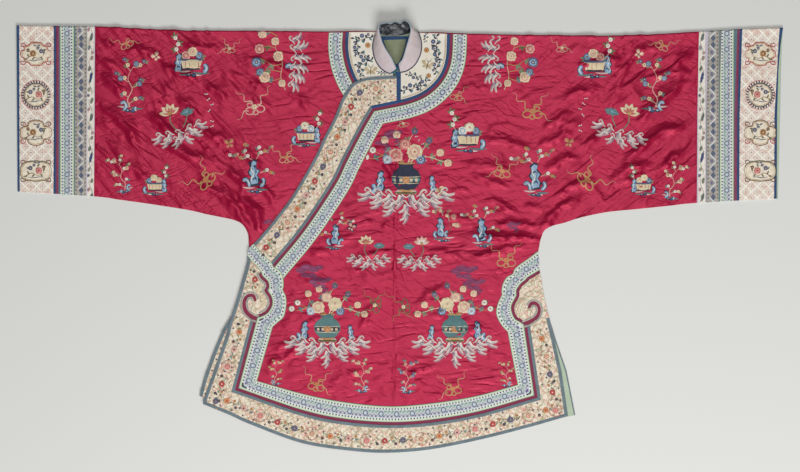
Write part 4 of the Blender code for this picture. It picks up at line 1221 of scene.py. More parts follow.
def slit_layer():
    """The back's lining that shows beside the left slit, with its bound edge."""
    front = [(x + 0.6, y) for x, y in straight(LEFT_SLIT, EDGE_STEP)]
    back = straight(BACK_LEFT_SLIT, EDGE_STEP)
    outline = [np.array((346.2, -196.0))] + back[3:] + front[:2:-1]
    bound = between([np.array((343, -185))] + back[1:], -3, BACK_BINDING)
    panels = [("binding", bound), ("lining", outline)]
    return Layer(outline, panels, [], lambda points: np.full(len(points), float(FRONT_LEVEL)))


# Fabrics

def colour(red, green, blue):
    """A colour given in 0 to 255 as the shader takes it."""
    def linear(value):
        value /= 255
        return value / 12.92 if value <= 0.04045 else ((value + 0.055) / 1.055) ** 2.4
    return (linear(red), linear(green), linear(blue), 1.0)


class Value:
    """A number at each point of a fabric, built up by arithmetic."""

    def __init__(self, tree, socket):
        self.tree = tree
        self.socket = socket

    def apply(self, operation, *others, clamp=False):
        """The value after one step of arithmetic with other values or numbers."""
        node = self.tree.nodes.new("ShaderNodeMath")
        node.operation = operation
        node.use_clamp = clamp
        for slot, value in zip(node.inputs, (self,) + others):
            if isinstance(value, Value):
                self.tree.links.new(value.socket, slot)
            else:
                slot.default_value = value
        return Value(self.tree, node.outputs[0])

    def __add__(self, other):
        return self.apply("ADD", other)

    def __sub__(self, other):
        return self.apply("SUBTRACT", other)

    def __mul__(self, other):
        return self.apply("MULTIPLY", other)

    def __truediv__(self, other):
        return self.apply("DIVIDE", other)

    def __abs__(self):
        return self.apply("ABSOLUTE")

    def repeat(self, period):
        """The value brought into half a period either side of nothing."""
        return self.apply("WRAP", period / 2, -period / 2)

    def sine(self, period):
        """A wave from -1 to 1 with the given period."""
        return (self * (2 * math.pi / period)).apply("SINE")

    def root(self):
        """Square root of the value's size."""
        return abs(self).apply("POWER", 0.5)

    def below(self, limit, soft=0.6):
        """1 where the value is below the limit and 0 above it, with a soft edge."""
        return self.apply("MULTIPLY_ADD", -1 / soft, limit / soft + 0.5, clamp=True)

    def above(self, limit, soft=0.6):
        """1 where the value is above the limit and 0 below it, with a soft edge."""
        return self.apply("MULTIPLY_ADD", 1 / soft, 0.5 - limit / soft, clamp=True)

    def near(self, centre, half_width, soft=0.6):
        """1 within half a width of the centre and 0 beyond it."""
        return abs(self - centre).below(half_width, soft)

    def either(self, other):
        """The larger of two values."""
        return self.apply("MAXIMUM", other)


def reach(a, b):
    """Distance of the point (a, b) from the middle."""
    return (a * a + b * b).apply("POWER", 0.5)


class Fabric:
    """One fabric: its ground colour, what is painted over it, and its relief."""

    def __init__(self, name, ground, roughness, sheen=0.0, specular=0.3):
        self.painted = colour(*ground)
        self.material = bpy.data.materials.new(name)
        self.material.use_nodes = True
        self.tree = self.material.node_tree
        self.shader = self.tree.nodes["Principled BSDF"]
        self.shader.inputs["Base Color"].default_value = self.painted
        self.shader.inputs["Roughness"].default_value = roughness
        self.shader.inputs["Sheen Weight"].default_value = sheen
        self.shader.inputs["Specular IOR Level"].default_value = specular
        self.relief = None
        self.position = self.tree.nodes.new("ShaderNodeTexCoord").outputs["Object"]
        strip = self.tree.nodes.new("ShaderNodeUVMap")
        strip.uv_map = "strip"
        parts = self.tree.nodes.new("ShaderNodeSeparateXYZ")
        self.tree.links.new(strip.outputs["UV"], parts.inputs[0])
        self.along = Value(self.tree, parts.outputs[0]) * (1 / MM)
        self.across = Value(self.tree, parts.outputs[1]) * (1 / MM)
        FINISHES[name] = self.material

    def noise(self, size, detail=2.0, turn=0.0, stretch=1.0):
        """Uneven patches about size millimetres wide, stretched along the turned direction."""
        mapping = self.tree.nodes.new("ShaderNodeMapping")
        mapping.vector_type = "TEXTURE"
        mapping.inputs["Rotation"].default_value = (0, 0, math.radians(turn))
        mapping.inputs["Scale"].default_value = (size * stretch * MM, size * MM, size * MM)
        self.tree.links.new(self.position, mapping.inputs["Vector"])
        texture = self.tree.nodes.new("ShaderNodeTexNoise")
        texture.inputs["Scale"].default_value = 1.0
        texture.inputs["Detail"].default_value = detail
        self.tree.links.new(mapping.outputs[0], texture.inputs["Vector"])
        return Value(self.tree, texture.outputs[0])

    def paint(self, mask, over):
        """Lays a colour over the fabric where the mask says."""
        node = self.tree.nodes.new("ShaderNodeMix")
        node.data_type = "RGBA"
        self.tree.links.new(mask.socket, node.inputs[0])
        if isinstance(self.painted, tuple):
            node.inputs[6].default_value = self.painted
        else:
            self.tree.links.new(self.painted, node.inputs[6])
        node.inputs[7].default_value = colour(*over)
        self.painted = node.outputs[2]

    def raise_by(self, value, height):
        """Adds to the relief, in millimetres."""
        part = value * height
        self.relief = part if self.relief is None else self.relief + part

    def finish(self, strength=1.0):
        """Gives the shader what was painted and the relief."""
        if not isinstance(self.painted, tuple):
            self.tree.links.new(self.painted, self.shader.inputs["Base Color"])
        if self.relief is not None:
            bump = self.tree.nodes.new("ShaderNodeBump")
            bump.inputs["Strength"].default_value = strength
            bump.inputs["Distance"].default_value = MM
            self.tree.links.new(self.relief.socket, bump.inputs["Height"])
            self.tree.links.new(bump.outputs[0], self.shader.inputs["Normal"])

    def finish_woven(self, weave, height):
        """Ends a woven silk with the relief of its weave on softly uneven cloth."""
        self.raise_by(weave, height)
        self.raise_by(self.noise(14, 2), 0.8)
        self.finish()

    def diagonals(self, length, width):
        """Two slanting rulings, each from half a cell below nothing to half a cell above it."""
        along, across = self.along / length, self.across / width
        return (along + across).repeat(1), (along - across).repeat(1)


# Every material by its name
FINISHES = {}

CRIMSON = (172, 4, 60)
CRIMSON_DEEP = (156, 3, 52)
CREAM = (240, 228, 206)
WHITE = (226, 230, 226)

# Colours of the embroidery threads
THREADS = {
    "white": (230, 226, 216), "cream": (228, 210, 172), "grey": (208, 190, 184), "lilac": (194, 152, 156),
    "sky": (150, 182, 208), "blue": (74, 110, 156), "navy": (28, 36, 64), "slate": (88, 92, 124),
    "plum": (126, 58, 92), "dusk": (142, 58, 102), "teal": (84, 124, 126), "green": (116, 132, 104),
    "pale_green": (182, 190, 148), "olive": (104, 100, 62), "brown": (126, 84, 60), "tan": (192, 146, 92),
    "pale_tan": (204, 182, 144), "sand": (246, 234, 210), "pink": (222, 168, 154), "rose": (200, 106, 102),
    "red": (186, 58, 62), "orange": (210, 138, 88),
}


def narrow_satin(name, ground, shade, patch, crumple, **shine):
    """Satin of a narrow strip, with patches of another shade and small crumples."""
    fabric = Fabric(name, ground, **shine)
    fabric.paint(fabric.noise(patch, 3).above(0.5, 0.3) * 0.6, shade)
    fabric.raise_by(fabric.noise(crumple, 2), 0.8)
    fabric.finish()


def puckers(fabric, turn, cross):
    """Sharp creases in patches of the satin along the turned direction, and shorter ones elsewhere."""
    patches = fabric.noise(70, 2, turn, 1.6).above(0.5, 0.2)
    long_ones = abs(fabric.noise(32, 2.5, turn, 4.5) - 0.5).apply("MINIMUM", 0.075) * 19
    short_ones = abs(fabric.noise(20, 2, cross, 3.5) - 0.5).apply("MINIMUM", 0.06) * 9
    creases = long_ones * (patches * 0.8 + 0.2) + short_ones * (patches * -0.8 + 1)
    return creases + fabric.noise(22, 2, turn, 3.5) * 2.4


def satin(name, side, turn, cross):
    """Crimson satin whose puckers lie level on the body and turn on the sleeve."""
    fabric = Fabric(name, CRIMSON, 0.42, specular=0.42)
    fabric.shader.inputs["Metallic"].default_value = 0.35
    fabric.paint(fabric.noise(120, 3).above(0.5, 0.5) * 0.5, CRIMSON_DEEP)
    body = puckers(fabric, 6, -32)
    if side:
        sleeve = (fabric.along * side).above(330, 200)
        body = puckers(fabric, turn, cross) * sleeve + body * (sleeve * -1 + 1)
    fabric.raise_by(body, 1.0)
    fabric.raise_by(fabric.across.sine(0.9), 0.02)
    fabric.finish(0.9)


def ribbed(name, ground, shade):
    """A silk with ribs across the strip, ready for more paint or relief."""
    fabric = Fabric(name, ground, 0.55, sheen=0.15)
    fabric.paint(fabric.noise(16, 3).above(0.5, 0.35) * 0.7, shade)
    fabric.raise_by(fabric.along.sine(1.6), 0.05)
    return fabric


def binding(name, ground, shade):
    """Ribbed binding, a little crumpled."""
    fabric = ribbed(name, ground, shade)
    fabric.raise_by(fabric.noise(5, 2), 0.4)
    fabric.finish()


def closing_piping():
    """Grey-green piping whose run at the neck is blue."""
    fabric = ribbed("closing_piping", (112, 128, 136), (90, 106, 112))
    fabric.paint(fabric.along.below(BLUE_PIPING, 4), (30, 74, 122))
    fabric.finish()


def flowered_ribbon():
    """Pale ribbon with rings and scrolls in the middle, and a row of dots and two stripes on each side."""
    fabric = Fabric("flowered_ribbon", (194, 201, 199), 0.55, sheen=0.1)
    along, across = fabric.along, fabric.across
    side = abs(across)
    from_ring = reach(along.repeat(36), across)
    green_scroll = abs(across + 4.2 + along.sine(9) * 2.2).below(0.8)
    green_scroll = green_scroll.either(reach(along.repeat(9), across + 5.4).below(1.9))
    fabric.paint(green_scroll * from_ring.above(7), (112, 152, 140))
    purple_scroll = abs(across - 3 + along.sine(9) * 1.6).below(0.6)
    purple_scroll = purple_scroll.either(reach((along + 2.5).repeat(9), across - 5).below(2.1))
    fabric.paint(purple_scroll * from_ring.above(7), (112, 98, 148))
    fabric.paint(from_ring.near(4.9, 1.15), (96, 106, 136))
    fabric.paint(from_ring.below(3), (196, 206, 214))
    fabric.paint(side.above(8), WHITE)
    fabric.paint(reach(along.repeat(7.1), side - 10.5).below(1.75), (58, 66, 84))
    fabric.paint(side.above(12.6), (204, 218, 180))
    fabric.paint(side.above(15.4), (92, 122, 130))
    fabric.finish_woven(along.sine(0.8), 0.03)


def grey_brocade():
    """Grey silk with slate diamonds between crossing pale arms, and dark dots along both sides."""
    fabric = Fabric("grey_brocade", (180, 174, 166), 0.55, sheen=0.1)
    along, across = fabric.along, fabric.across
    fabric.paint(fabric.noise(9, 3).above(0.52, 0.2) * 0.5, (140, 132, 124))
    fabric.paint(reach(along.repeat(9), abs(across) - 10.8).below(1.7), (104, 88, 68))
    span = abs(along.repeat(50))
    inner = abs(span - 8) / 8.5 + abs(across - 1) / 6
    fabric.paint(inner.below(1, 0.2), (92, 100, 120))
    arms = abs(span - 16 - across * 1.05).below(1.9) * abs(across).below(7)
    fabric.paint(arms, (218, 220, 218))
    tips = abs(span - 23) / 3.6 + abs(across + 2.5) / 5
    fabric.paint(tips.below(1, 0.3), (118, 116, 138))
    fabric.paint(abs(across).above(13.4), (120, 128, 128))
    fabric.finish_woven(along.sine(0.8), 0.03)


def cream_brocade():
    """Cream silk with a trailing twig of navy and grey leaves."""
    fabric = Fabric("cream_brocade", (240, 232, 220), 0.5, sheen=0.15)
    along, across = fabric.along, fabric.across
    fabric.paint(fabric.noise(9, 3).above(0.55, 0.1) * 0.45, (196, 184, 160))
    twig = abs(across - along.sine(46) * 3.5).below(0.7) * abs(along.repeat(46)).above(5)
    fabric.paint(twig * 0.9, (134, 138, 124))
    ragged = fabric.noise(5, 2) * 0.9
    for shift, side, height, tone in (
        (0, 1, 13, (58, 72, 112)), (92, 2, 10, (92, 104, 100)), (28, -3, 6, (150, 146, 134)),
        (54, 3, 7, (120, 126, 108)), (74, -4, 5, (172, 134, 140)), (116, -3, 6, (132, 138, 142)),
        (140, 3, 6, (150, 132, 124)), (164, -2, 7, (112, 116, 104)), (42, -5, 4, (96, 104, 124)),
        (128, 5, 4, (170, 140, 140)),
    ):
        place = (along + shift).repeat(184)
        petal = reach(place / height, (across - side - place * 0.2) / 3.8) + ragged
        fabric.paint(petal.below(1.35, 0.2), tone)
    fabric.paint(abs(across).above(7.8), (200, 192, 206))
    fabric.finish_woven(along.sine(0.8), 0.03)


def cuff_lattice():
    """Ivory silk covered in nested diamonds of small stitches, with a dark dot in each."""
    fabric = Fabric("cuff_lattice", (255, 248, 236), 0.5, sheen=0.15)
    a, b = fabric.diagonals(26, 26)
    edge = abs(a).apply("MAXIMUM", abs(b))
    for ring, width, strength, tone in (
        (0.5, 0.035, 0.8, (255, 244, 228)), (0.35, 0.04, 0.6, (158, 146, 126)),
        (0.21, 0.04, 0.7, (210, 152, 134)), (0.0, 0.08, 0.9, (66, 70, 72)),
    ):
        fabric.paint(edge.near(ring, width, 0.03) * strength, tone)
    stitches = reach(fabric.along.repeat(4.6), fabric.across.repeat(4.6)).below(1.5, 0.8)
    fabric.paint(stitches * 0.14, (140, 134, 112))
    fabric.paint(fabric.noise(12, 2).above(0.56, 0.08) * 0.4, (210, 154, 138))
    fabric.finish_woven(stitches, 0.12)


def band_lattice():
    """Cream silk with a thin diagonal lattice and a dark four-petalled flower in each diamond."""
    fabric = Fabric("band_lattice", CREAM, 0.5, sheen=0.15)
    a, b = fabric.diagonals(28, 24)
    for ruling, ring, width, strength, tone in (
        (a, 0.5, 0.03, 0.85, (186, 124, 100)), (b, 0.5, 0.03, 0.85, (150, 158, 118)),
        (a, 0.36, 0.016, 0.5, (206, 168, 140)), (b, 0.36, 0.016, 0.5, (180, 186, 152)),
    ):
        fabric.paint(abs(ruling).near(ring, width, 0.03) * strength, tone)
    for size, tone in ((17, (206, 112, 100)), (23, (126, 134, 92)), (13, (176, 150, 116))):
        scrolls = abs(fabric.noise(size, 1.0) - 0.5).below(0.022, 0.02)
        fabric.paint(scrolls * 0.6, tone)
    petals = ((a + b) * 14).root() + ((a - b) * 12).root()
    fabric.paint(petals.below(2.3, 0.3) * fabric.noise(50, 1).above(0.48, 0.08), (84, 82, 90))
    fabric.paint(fabric.noise(6, 2).above(0.6, 0.06) * 0.25, (206, 140, 120))
    fabric.finish_woven(petals.below(2.5, 0.5), 0.2)


def plain_silk(name, ground, shade, roughness=0.5, relief=0.8, scale=14):
    """A plain silk, a little uneven in colour and surface."""
    fabric = Fabric(name, ground, roughness, sheen=0.15)
    fabric.paint(fabric.noise(scale * 2, 3).above(0.5, 0.4) * 0.6, shade)
    fabric.raise_by(fabric.noise(scale, 3), relief)
    fabric.raise_by(fabric.along.sine(0.9), 0.03)
    fabric.finish()


def collar_facing():
    """Dark crumpled cloth with grey painted highlights in patches, standing for light on its folds, blue at
    the collar's two ends.
    """
    fabric = Fabric("collar_facing", (34, 38, 44), 0.6, sheen=0.1)
    # Painted highlight: grey patches, paler in the smaller ones, stand for the light on the crumpled folds
    fabric.paint(fabric.noise(15, 2.5).above(0.54, 0.14) * 0.85, (118, 118, 120))
    fabric.paint(fabric.noise(9, 3).above(0.62, 0.08) * 0.6, (164, 162, 162))
    fabric.paint(abs(fabric.along - COLLAR_MIDDLE).above(COLLAR_BLUE, 10), (26, 84, 116))
    fabric.raise_by(fabric.noise(14, 3), 7.0)
    fabric.finish()


def thread(name, tone):
    """Silk thread in satin stitch, its stitches lying across the line."""
    fabric = Fabric(name, tone, 0.42, sheen=0.15, specular=0.4)
    fabric.paint(fabric.noise(7, 2).above(0.52, 0.2) * 0.35, [part * 0.78 for part in tone])
    fabric.raise_by(fabric.along.sine(0.9), 0.05)
    fabric.finish()


def dotted_braid():
    """Narrow grey braid with a row of dark dots."""
    fabric = Fabric("dotted_braid", (186, 182, 172), 0.5, sheen=0.1)
    fabric.paint(reach(fabric.along.repeat(3.2), fabric.across).below(0.9), (84, 84, 86))
    fabric.paint(abs(fabric.across).above(1.7, 0.4), (140, 140, 134))
    fabric.finish()


def fabrics():
    """Every material of the coat."""
    satin("crimson_satin_right", -1, -42, 20)
    satin("crimson_satin_left", 1, 38, -20)
    satin("crimson_satin", 0, 0, 0)
    satin("seam_satin", 0, 0, 0)
    narrow_satin("strip_satin", (136, 18, 60), (118, 22, 66), 22, 9, roughness=0.5, sheen=0.1)
    narrow_satin("purple_satin", (116, 42, 82), (140, 28, 66), 26, 8,
                 roughness=0.45, sheen=0.2, specular=0.4)
    binding("blue_binding", (30, 74, 122), (38, 60, 92))
    binding("grey_green_binding", (112, 128, 136), (90, 106, 112))
    binding("blue_green_knot", (44, 96, 112), (36, 66, 92))
    binding("pale_piping", (168, 184, 196), (140, 158, 176))
    binding("navy_cord", (38, 46, 84), (28, 34, 60))
    closing_piping()
    flowered_ribbon()
    grey_brocade()
    cream_brocade()
    cuff_lattice()
    band_lattice()
    plain_silk("ivory_silk", (240, 234, 220), (230, 220, 200))
    plain_silk("collar_silk", (216, 202, 202), (196, 180, 186), 0.42, 2.4, 20)
    collar_facing()
    plain_silk("green_lining", (184, 200, 174), (168, 184, 158))
    plain_silk("olive_lining", (146, 152, 120), (124, 132, 102), 0.6, 1.2, 9)
    dotted_braid()
    for name, tone in THREADS.items():
        thread(name, tone)


# Dressing the coat

# Finish and pattern of the trimmings that are drawn on the flat back
BACK_FINISH = {
    "border_ribbon": "flowered_ribbon", "ground_strip": "strip_satin", "hem_piping": "grey_green_binding",
    "hem_binding": "grey_green_binding", "hem_band": "band_lattice", "neck_piping": "blue_binding",
    "neck_ribbon": "flowered_ribbon", "yoke": "ivory_silk",
}
BACK_STRIPS = {
    "border_ribbon": border_strip,
    "ground_strip": plain_strip,
    "hem_piping": beside(FRONT_EDGE),
    "hem_binding": beside(FRONT_EDGE),
    "hem_band": beside(FRONT_EDGE),
    "neck_piping": beside(smooth(BACK_NECK_GUIDE, EDGE_STEP)),
    "neck_ribbon": beside(smooth(BACK_NECK_GUIDE, EDGE_STEP), -RIBBON_MIDDLE),
    "yoke": plain_strip,
}

# How each cuff's strip was cut: its finish, its slot, and the right and the left cuff's cut,
# each as width and length of the cloth and its area, in metres
CUFF_CUTS = {
    "binding": ("blue_binding", "blue_binding", (0.010, 0.757, 0.00454), (0.010, 0.780, 0.00585)),
    "band": ("cuff_lattice", "cream_embroidered_silk", (0.079, 0.757, None), (0.082, 0.780, None)),
    "piping": ("blue_binding", "blue_binding", (0.010, 0.757, 0.00379), (0.010, 0.780, 0.00429)),
    "strip": ("purple_satin", "purple_satin", (0.010, 0.757, 0.00568), (0.010, 0.780, 0.00546)),
    "ribbon": ("flowered_ribbon", "flowered_ribbon", (0.037, 0.762, None), (0.035, 0.780, None)),
    "grey_brocade": ("grey_brocade", "grey_brocade", (0.0265, 0.768, None), (0.030, 0.780, None)),
    "cream_brocade": ("cream_brocade", "cream_brocade", (0.0185, 0.774, None), (0.0212, 0.780, None)),
}


def declare(node, pieces, on_it=()):
    """Hides the part of model.glb for the node that the cloth stands for."""
    for piece in pieces[1:]:
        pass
    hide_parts(node)
    list(pieces[1:]) + list(on_it)


def dress():
    """Every piece of cloth of the coat, by the node it stands for."""
    outer, inner = outer_layer(), inner_layer()
    back = back_layer(inner, outer)
    cloth = {}

    def fold(node, finish, front, shoulder, strip=plain_strip):
        cloth[node] = [folded_panel(node, finish, front, back, shoulder, strip)]

    def lay(node, finish, layer, kind, area, lift=0, strip=plain_strip):
        cloth[node] = flat_piece(node, finish, layer, kind, area, lift, strip)

    fold("right_half", "crimson_satin_right", inner, RIGHT_TOP)
    fold("left_half", "crimson_satin_left", outer, LEFT_TOP)
    lay("overlap", "crimson_satin", outer, 0, "overlap")
    for side, layer, top in (("right", inner, RIGHT_TOP), ("left", outer, LEFT_TOP)):
        for name, middle in cuff_middles(side).items():
            fold("%s_cuff_%s" % (side, name), CUFF_CUTS[name][0], layer, top, cuff_strip(middle))
    guide = neck_guide()
    for node, finish, strip in (
        ("border_ribbon", "flowered_ribbon", border_strip),
        ("hem_piping", "grey_green_binding", border_strip),
        ("hem_binding", "grey_green_binding", beside(FRONT_EDGE)),
        ("hem_band", "band_lattice", beside(FRONT_EDGE)),
        ("placket", "blue_binding", plain_strip),
        ("closing_binding", "grey_green_binding", beside(CLOSING)),
        ("neck_piping", "blue_binding", beside(guide)),
        ("closing_piping", "closing_piping", beside(guide)),
        ("neck_ribbon", "flowered_ribbon", beside(guide, RIBBON_MIDDLE)),
        ("closing_band", "band_lattice", beside(CLOSING)),
        ("left_yoke", "ivory_silk", plain_strip),
    ):
        lay(node, finish, outer, 1, node, LAYER, strip)
    side = smooth(UNDERLAP_SIDE, EDGE_STEP)[::-1]
    under = smooth(UNDER_GUIDE, EDGE_STEP)
    for node, finish, strip in (
        ("underlap_binding", "grey_green_binding", beside(side)),
        ("underlap_band", "band_lattice", beside(side)),
        ("under_piping", "blue_binding", beside(under)),
        ("under_ribbon", "flowered_ribbon", beside(under, -RIBBON_MIDDLE)),
        ("right_yoke", "ivory_silk", plain_strip),
    ):
        lay(node, finish, inner, 1, node, LAYER, strip)
    slit = slit_layer()
    lay("neck_lining", "olive_lining", neck_layer(LAYER), 1, "lining")
    lay("neck_facing", "blue_binding", neck_layer(2 * LAYER), 0, "rim")
    lay("slit_lining", "green_lining", slit, 0, "lining")
    lay("back_slit_binding", "grey_green_binding", slit, 0, "binding")
    collar_piece, cords = collar()
    cloth["collar"] = [collar_piece]
    return cloth, {"collar": cords}


# Embroidery

# Heights of a thread's edge and crown over the cloth, and of each further layer of thread
THREAD_EDGE = 0.25
THREAD_ROUND = 0.55
THREAD_LAYER = 0.3
# Share of its height that a thread keeps where the coat lies on it
PRESSED = 0.14
STITCH_STEP = 3.0
# Rings of a padded shape: share of the outline's size, and share of the padding's height
PAD_RINGS = ((1.0, 0.0), (0.86, 0.8), (0.5, 1.0))
# Height in metres, over or under the coat, from which its cloth is looked for
FAR_OFF = 0.2


def taper(shape, count):
    """Width of a stitched line from start to end, as a share of its full width."""
    t = np.linspace(0, 1, count)
    if shape == "even":
        return np.minimum(1, 0.35 + 6 * np.minimum(t, 1 - t))
    if shape == "tip":
        return 0.15 + 0.85 * (1 - t) ** 0.8
    if shape == "leaf":
        return np.maximum(0.1, np.abs(np.sin(math.pi * t)) ** 0.8)
    return np.maximum(0.12, np.abs(np.sin(math.pi * t ** 1.5)) ** 0.6)


class Embroidery:
    """Raised threads on one side of the coat, gathered by the piece of cloth below them."""

    def __init__(self, cloth, underneath=False):
        self.way = -1 if underneath else 1
        self.relief = PRESSED if underneath else 1.0
        self.label = "back_embroidery" if underneath else "embroidery"
        points, faces, self.node_of = [], [], []
        for node, pieces in cloth.items():
            for piece in pieces:
                first = len(points)
                points += [vertex.co.copy() for vertex in piece.data.vertices]
                faces += [[first + corner for corner in face.vertices] for face in piece.data.polygons]
                self.node_of += [node] * len(piece.data.polygons)
        self.cloth = BVHTree.FromPolygons(points, faces)
        self.allowed = set(cloth)
        self.sewn = {}

    def cloth_at(self, x, y):
        """Height of the cloth at a place and the node it belongs to, or nothing off the coat."""
        start = Vector((x * MM, y * MM, FAR_OFF * self.way))
        found, _, face, _ = self.cloth.ray_cast(start, Vector((0, 0, -self.way)))
        return (None, None) if found is None else (found.z / MM, self.node_of[face])

    def add(self, places, lifts, strip, faces, finish):
        """Lays a shape on the cloth, unless part of it would lie off the pieces it is allowed on."""
        heights, node = [], None
        for i, (x, y) in enumerate(places):
            height, below = self.cloth_at(x, y)
            if below not in self.allowed:
                return
            heights.append(height)
            if i == len(places) // 2:
                node = below
        points, rows, shapes, finishes = self.sewn.setdefault(node, ([], [], [], []))
        first = len(points)
        rise = self.way * self.relief
        points += [(x, y, z + rise * lift) for (x, y), z, lift in zip(places, heights, lifts)]
        rows += [tuple(row) for row in strip]
        shapes += [tuple(first + corner for corner in face[::self.way]) for face in faces]
        finishes += [finish] * len(faces)

    def stroke(self, line, widths, finish, level=0):
        """A line of satin stitch, round on top."""
        line = np.array(line)
        along = np.gradient(line, axis=0)
        along /= np.maximum(np.linalg.norm(along, axis=1), 1e-6)[:, None]
        half = np.column_stack((-along[:, 1], along[:, 0])) * widths[:, None] / 2
        places = np.stack((line + half, line, line - half), axis=1).reshape(-1, 2)
        low = THREAD_EDGE + level * THREAD_LAYER
        high = low + np.minimum(widths * 0.22, THREAD_ROUND)
        lifts = np.column_stack((np.full(len(line), low), high, np.full(len(line), low))).ravel()
        steps = np.linalg.norm(np.diff(line, axis=0), axis=1)
        distance = np.concatenate(([0], np.cumsum(steps)))
        across = np.column_stack((widths / 2, 0 * widths, -widths / 2)).ravel()
        strip = np.column_stack((np.repeat(distance, 3), across))
        faces = []
        for a in range(0, 3 * (len(line) - 1), 3):
            faces += [(a, a + 1, a + 4, a + 3), (a + 1, a + 2, a + 5, a + 4)]
        self.add(places, lifts, strip, faces, finish)

    def pad(self, outline, finish, level=0):
        """A filled shape, padded in the middle."""
        outline = np.array(outline)
        turned = np.roll(outline, -1, axis=0)
        if (outline[:, 0] * turned[:, 1] - turned[:, 0] * outline[:, 1]).sum() < 0:
            outline = outline[::-1]
        middle, count = outline.mean(axis=0), len(outline)
        places = np.vstack([middle + (outline - middle) * share for share, _ in PAD_RINGS] + [middle])
        low = THREAD_EDGE + level * THREAD_LAYER
        lifts = [low + THREAD_ROUND * rise for _, rise in PAD_RINGS for _ in range(count)]
        lifts.append(low + THREAD_ROUND)
        faces = []
        for ring in range(len(PAD_RINGS) - 1):
            for i in range(count):
                a, b = ring * count + i, ring * count + (i + 1) % count
                faces.append((a, b, b + count, a + count))
        last = (len(PAD_RINGS) - 1) * count
        faces += [(last + i, last + (i + 1) % count, last + count) for i in range(count)]
        self.add(places, lifts, places - middle, faces, finish)

    def meshes(self):
        """One mesh of threads for each piece of cloth."""
        made = {}
        for node, (points, rows, shapes, finishes) in self.sewn.items():
            used = sorted(set(finishes))
            numbers = [used.index(finish) for finish in finishes]
            name = "%s_%s" % (node, self.label)
            made[node] = cloth_mesh(name, points, shapes, rows, used, numbers)
        return made


def oval(x, y, radius, flat, angles):
    """Points at the given angles of an oval round a place."""
    return [(x + radius * math.cos(a), y + radius * flat * math.sin(a)) for a in angles]


class Needle:
    """Sews one motif, drawn in its own millimetres, at its size, turn and place on the coat."""

    def __init__(self, work, x, y, size=1.0, turn=0.0, mirror=False):
        self.work = work
        self.place = np.array((x, y), float)
        self.size = size
        self.turn = math.radians(turn)
        self.mirror = -1 if mirror else 1

    def on_cloth(self, rows):
        """The motif's own points brought to their places on the coat."""
        x, y = (np.array(rows, float) * (self.mirror * self.size, self.size)).T
        cos, sin = math.cos(self.turn), math.sin(self.turn)
        return np.column_stack((x * cos - y * sin, x * sin + y * cos)) + self.place

    def line(self, rows, width, finish, shape="even", level=0):
        """A curved line of satin stitch through the rows."""
        rows = self.on_cloth(rows)
        length = np.linalg.norm(np.diff(rows, axis=0), axis=1).sum()
        points = smooth(rows, max(0.4, min(STITCH_STEP, length / 6)))
        self.work.stroke(points, taper(shape, len(points)) * width * self.size, finish, level)

    def petal(self, x, y, angle, length, width, finish, shape="leaf", bend=0.0, level=0):
        """A petal or leaf from a point, in a direction in degrees."""
        ahead = np.array(heading(angle))
        aside = np.array((-ahead[1], ahead[0]))
        start = np.array((x, y), float)
        rows = [start, start + ahead * length / 2 + aside * bend * length, start + ahead * length]
        self.line(rows, width, finish, shape, level)

    def pad(self, rows, finish, level=0):
        """A padded shape."""
        self.work.pad(self.on_cloth(rows), finish, level)

    def disc(self, x, y, radius, finish, level=0, count=10, flat=1.0):
        """A padded disc, made oval by flat."""
        angles = [2 * math.pi * k / count for k in range(count)]
        self.pad(oval(x, y, radius, flat, angles), finish, level)

    def ring(self, x, y, radius, width, finish, level=0, flat=1.0):
        """A stitched ring, made oval by flat."""
        self.line(oval(x, y, radius, flat, np.linspace(0, 2 * math.pi, 25)), width, finish, "even", level)


def blossom(needle, x, y, radius, petal, heart, petals=5, level=1, lean=18):
    """A single flower of round petals."""
    width = 2.0 * radius * math.sin(math.pi / petals)
    for k in range(petals):
        needle.petal(x, y, 360 * k / petals + lean, radius, width, petal, "petal", level=level)
    needle.disc(x, y, radius * 0.3, heart, level + 2, 6)


def peony(needle, x, y, radius, outer, middle, heart, level=1):
    """A full flower in three rounds of petals."""
    for count, share, finish, rise in ((8, 1.0, outer, 0), (7, 0.72, middle, 1), (5, 0.42, outer, 2)):
        reach_out = radius * share
        width = 2.3 * reach_out * math.sin(math.pi / count)
        for k in range(count):
            angle = 360 * k / count + 25 * rise + 7
            needle.petal(x, y, angle, reach_out * (1 + 0.08 * math.sin(3 * k)), width, finish, "petal",
                         level=level + rise)
    needle.disc(x, y, radius * 0.16, heart, level + 4, 6)


def leaf(needle, x, y, angle, length, finish="green", vein="pale_green", level=0):
    """A leaf with its vein."""
    needle.petal(x, y, angle, length, length * 0.42, finish, bend=0.12, level=level)
    needle.petal(x, y, angle, length * 0.85, 1.0, vein, bend=0.12, level=level + 1)


def leaf_cluster(needle, x, y, angle, length, finish="green", vein="pale_green", level=0):
    """Three leaves from one point."""
    for turn, share in ((-48, 0.8), (0, 1.0), (52, 0.85)):
        leaf(needle, x, y, angle + turn, length * share, finish, vein, level)


def rock(needle, rows, width):
    """A weathered garden rock: a pale fold of stone edged with navy."""
    rows = np.array(rows, float)
    needle.line(rows, width, "navy")
    needle.line(rows, width * 0.66, "sky", level=1)
    middle = rows.mean(axis=0)
    inner = middle + (rows - middle) * 0.8
    needle.line(inner + (width * 0.1, 0), width * 0.26, "white", "leaf", level=2)
    needle.line(inner - (width * 0.16, 0), width * 0.12, "blue", "leaf", level=2)


# Outline of a garden rock, from its foot on the left round to its foot on the right
ROCK_SHAPE = (
    (-8, 0), (-12, 9), (-6, 17), (-13, 27), (-7, 37), (-10, 46), (-1, 54), (8, 50), (5, 40), (13, 31),
    (6, 22), (13, 12), (9, 2),
)


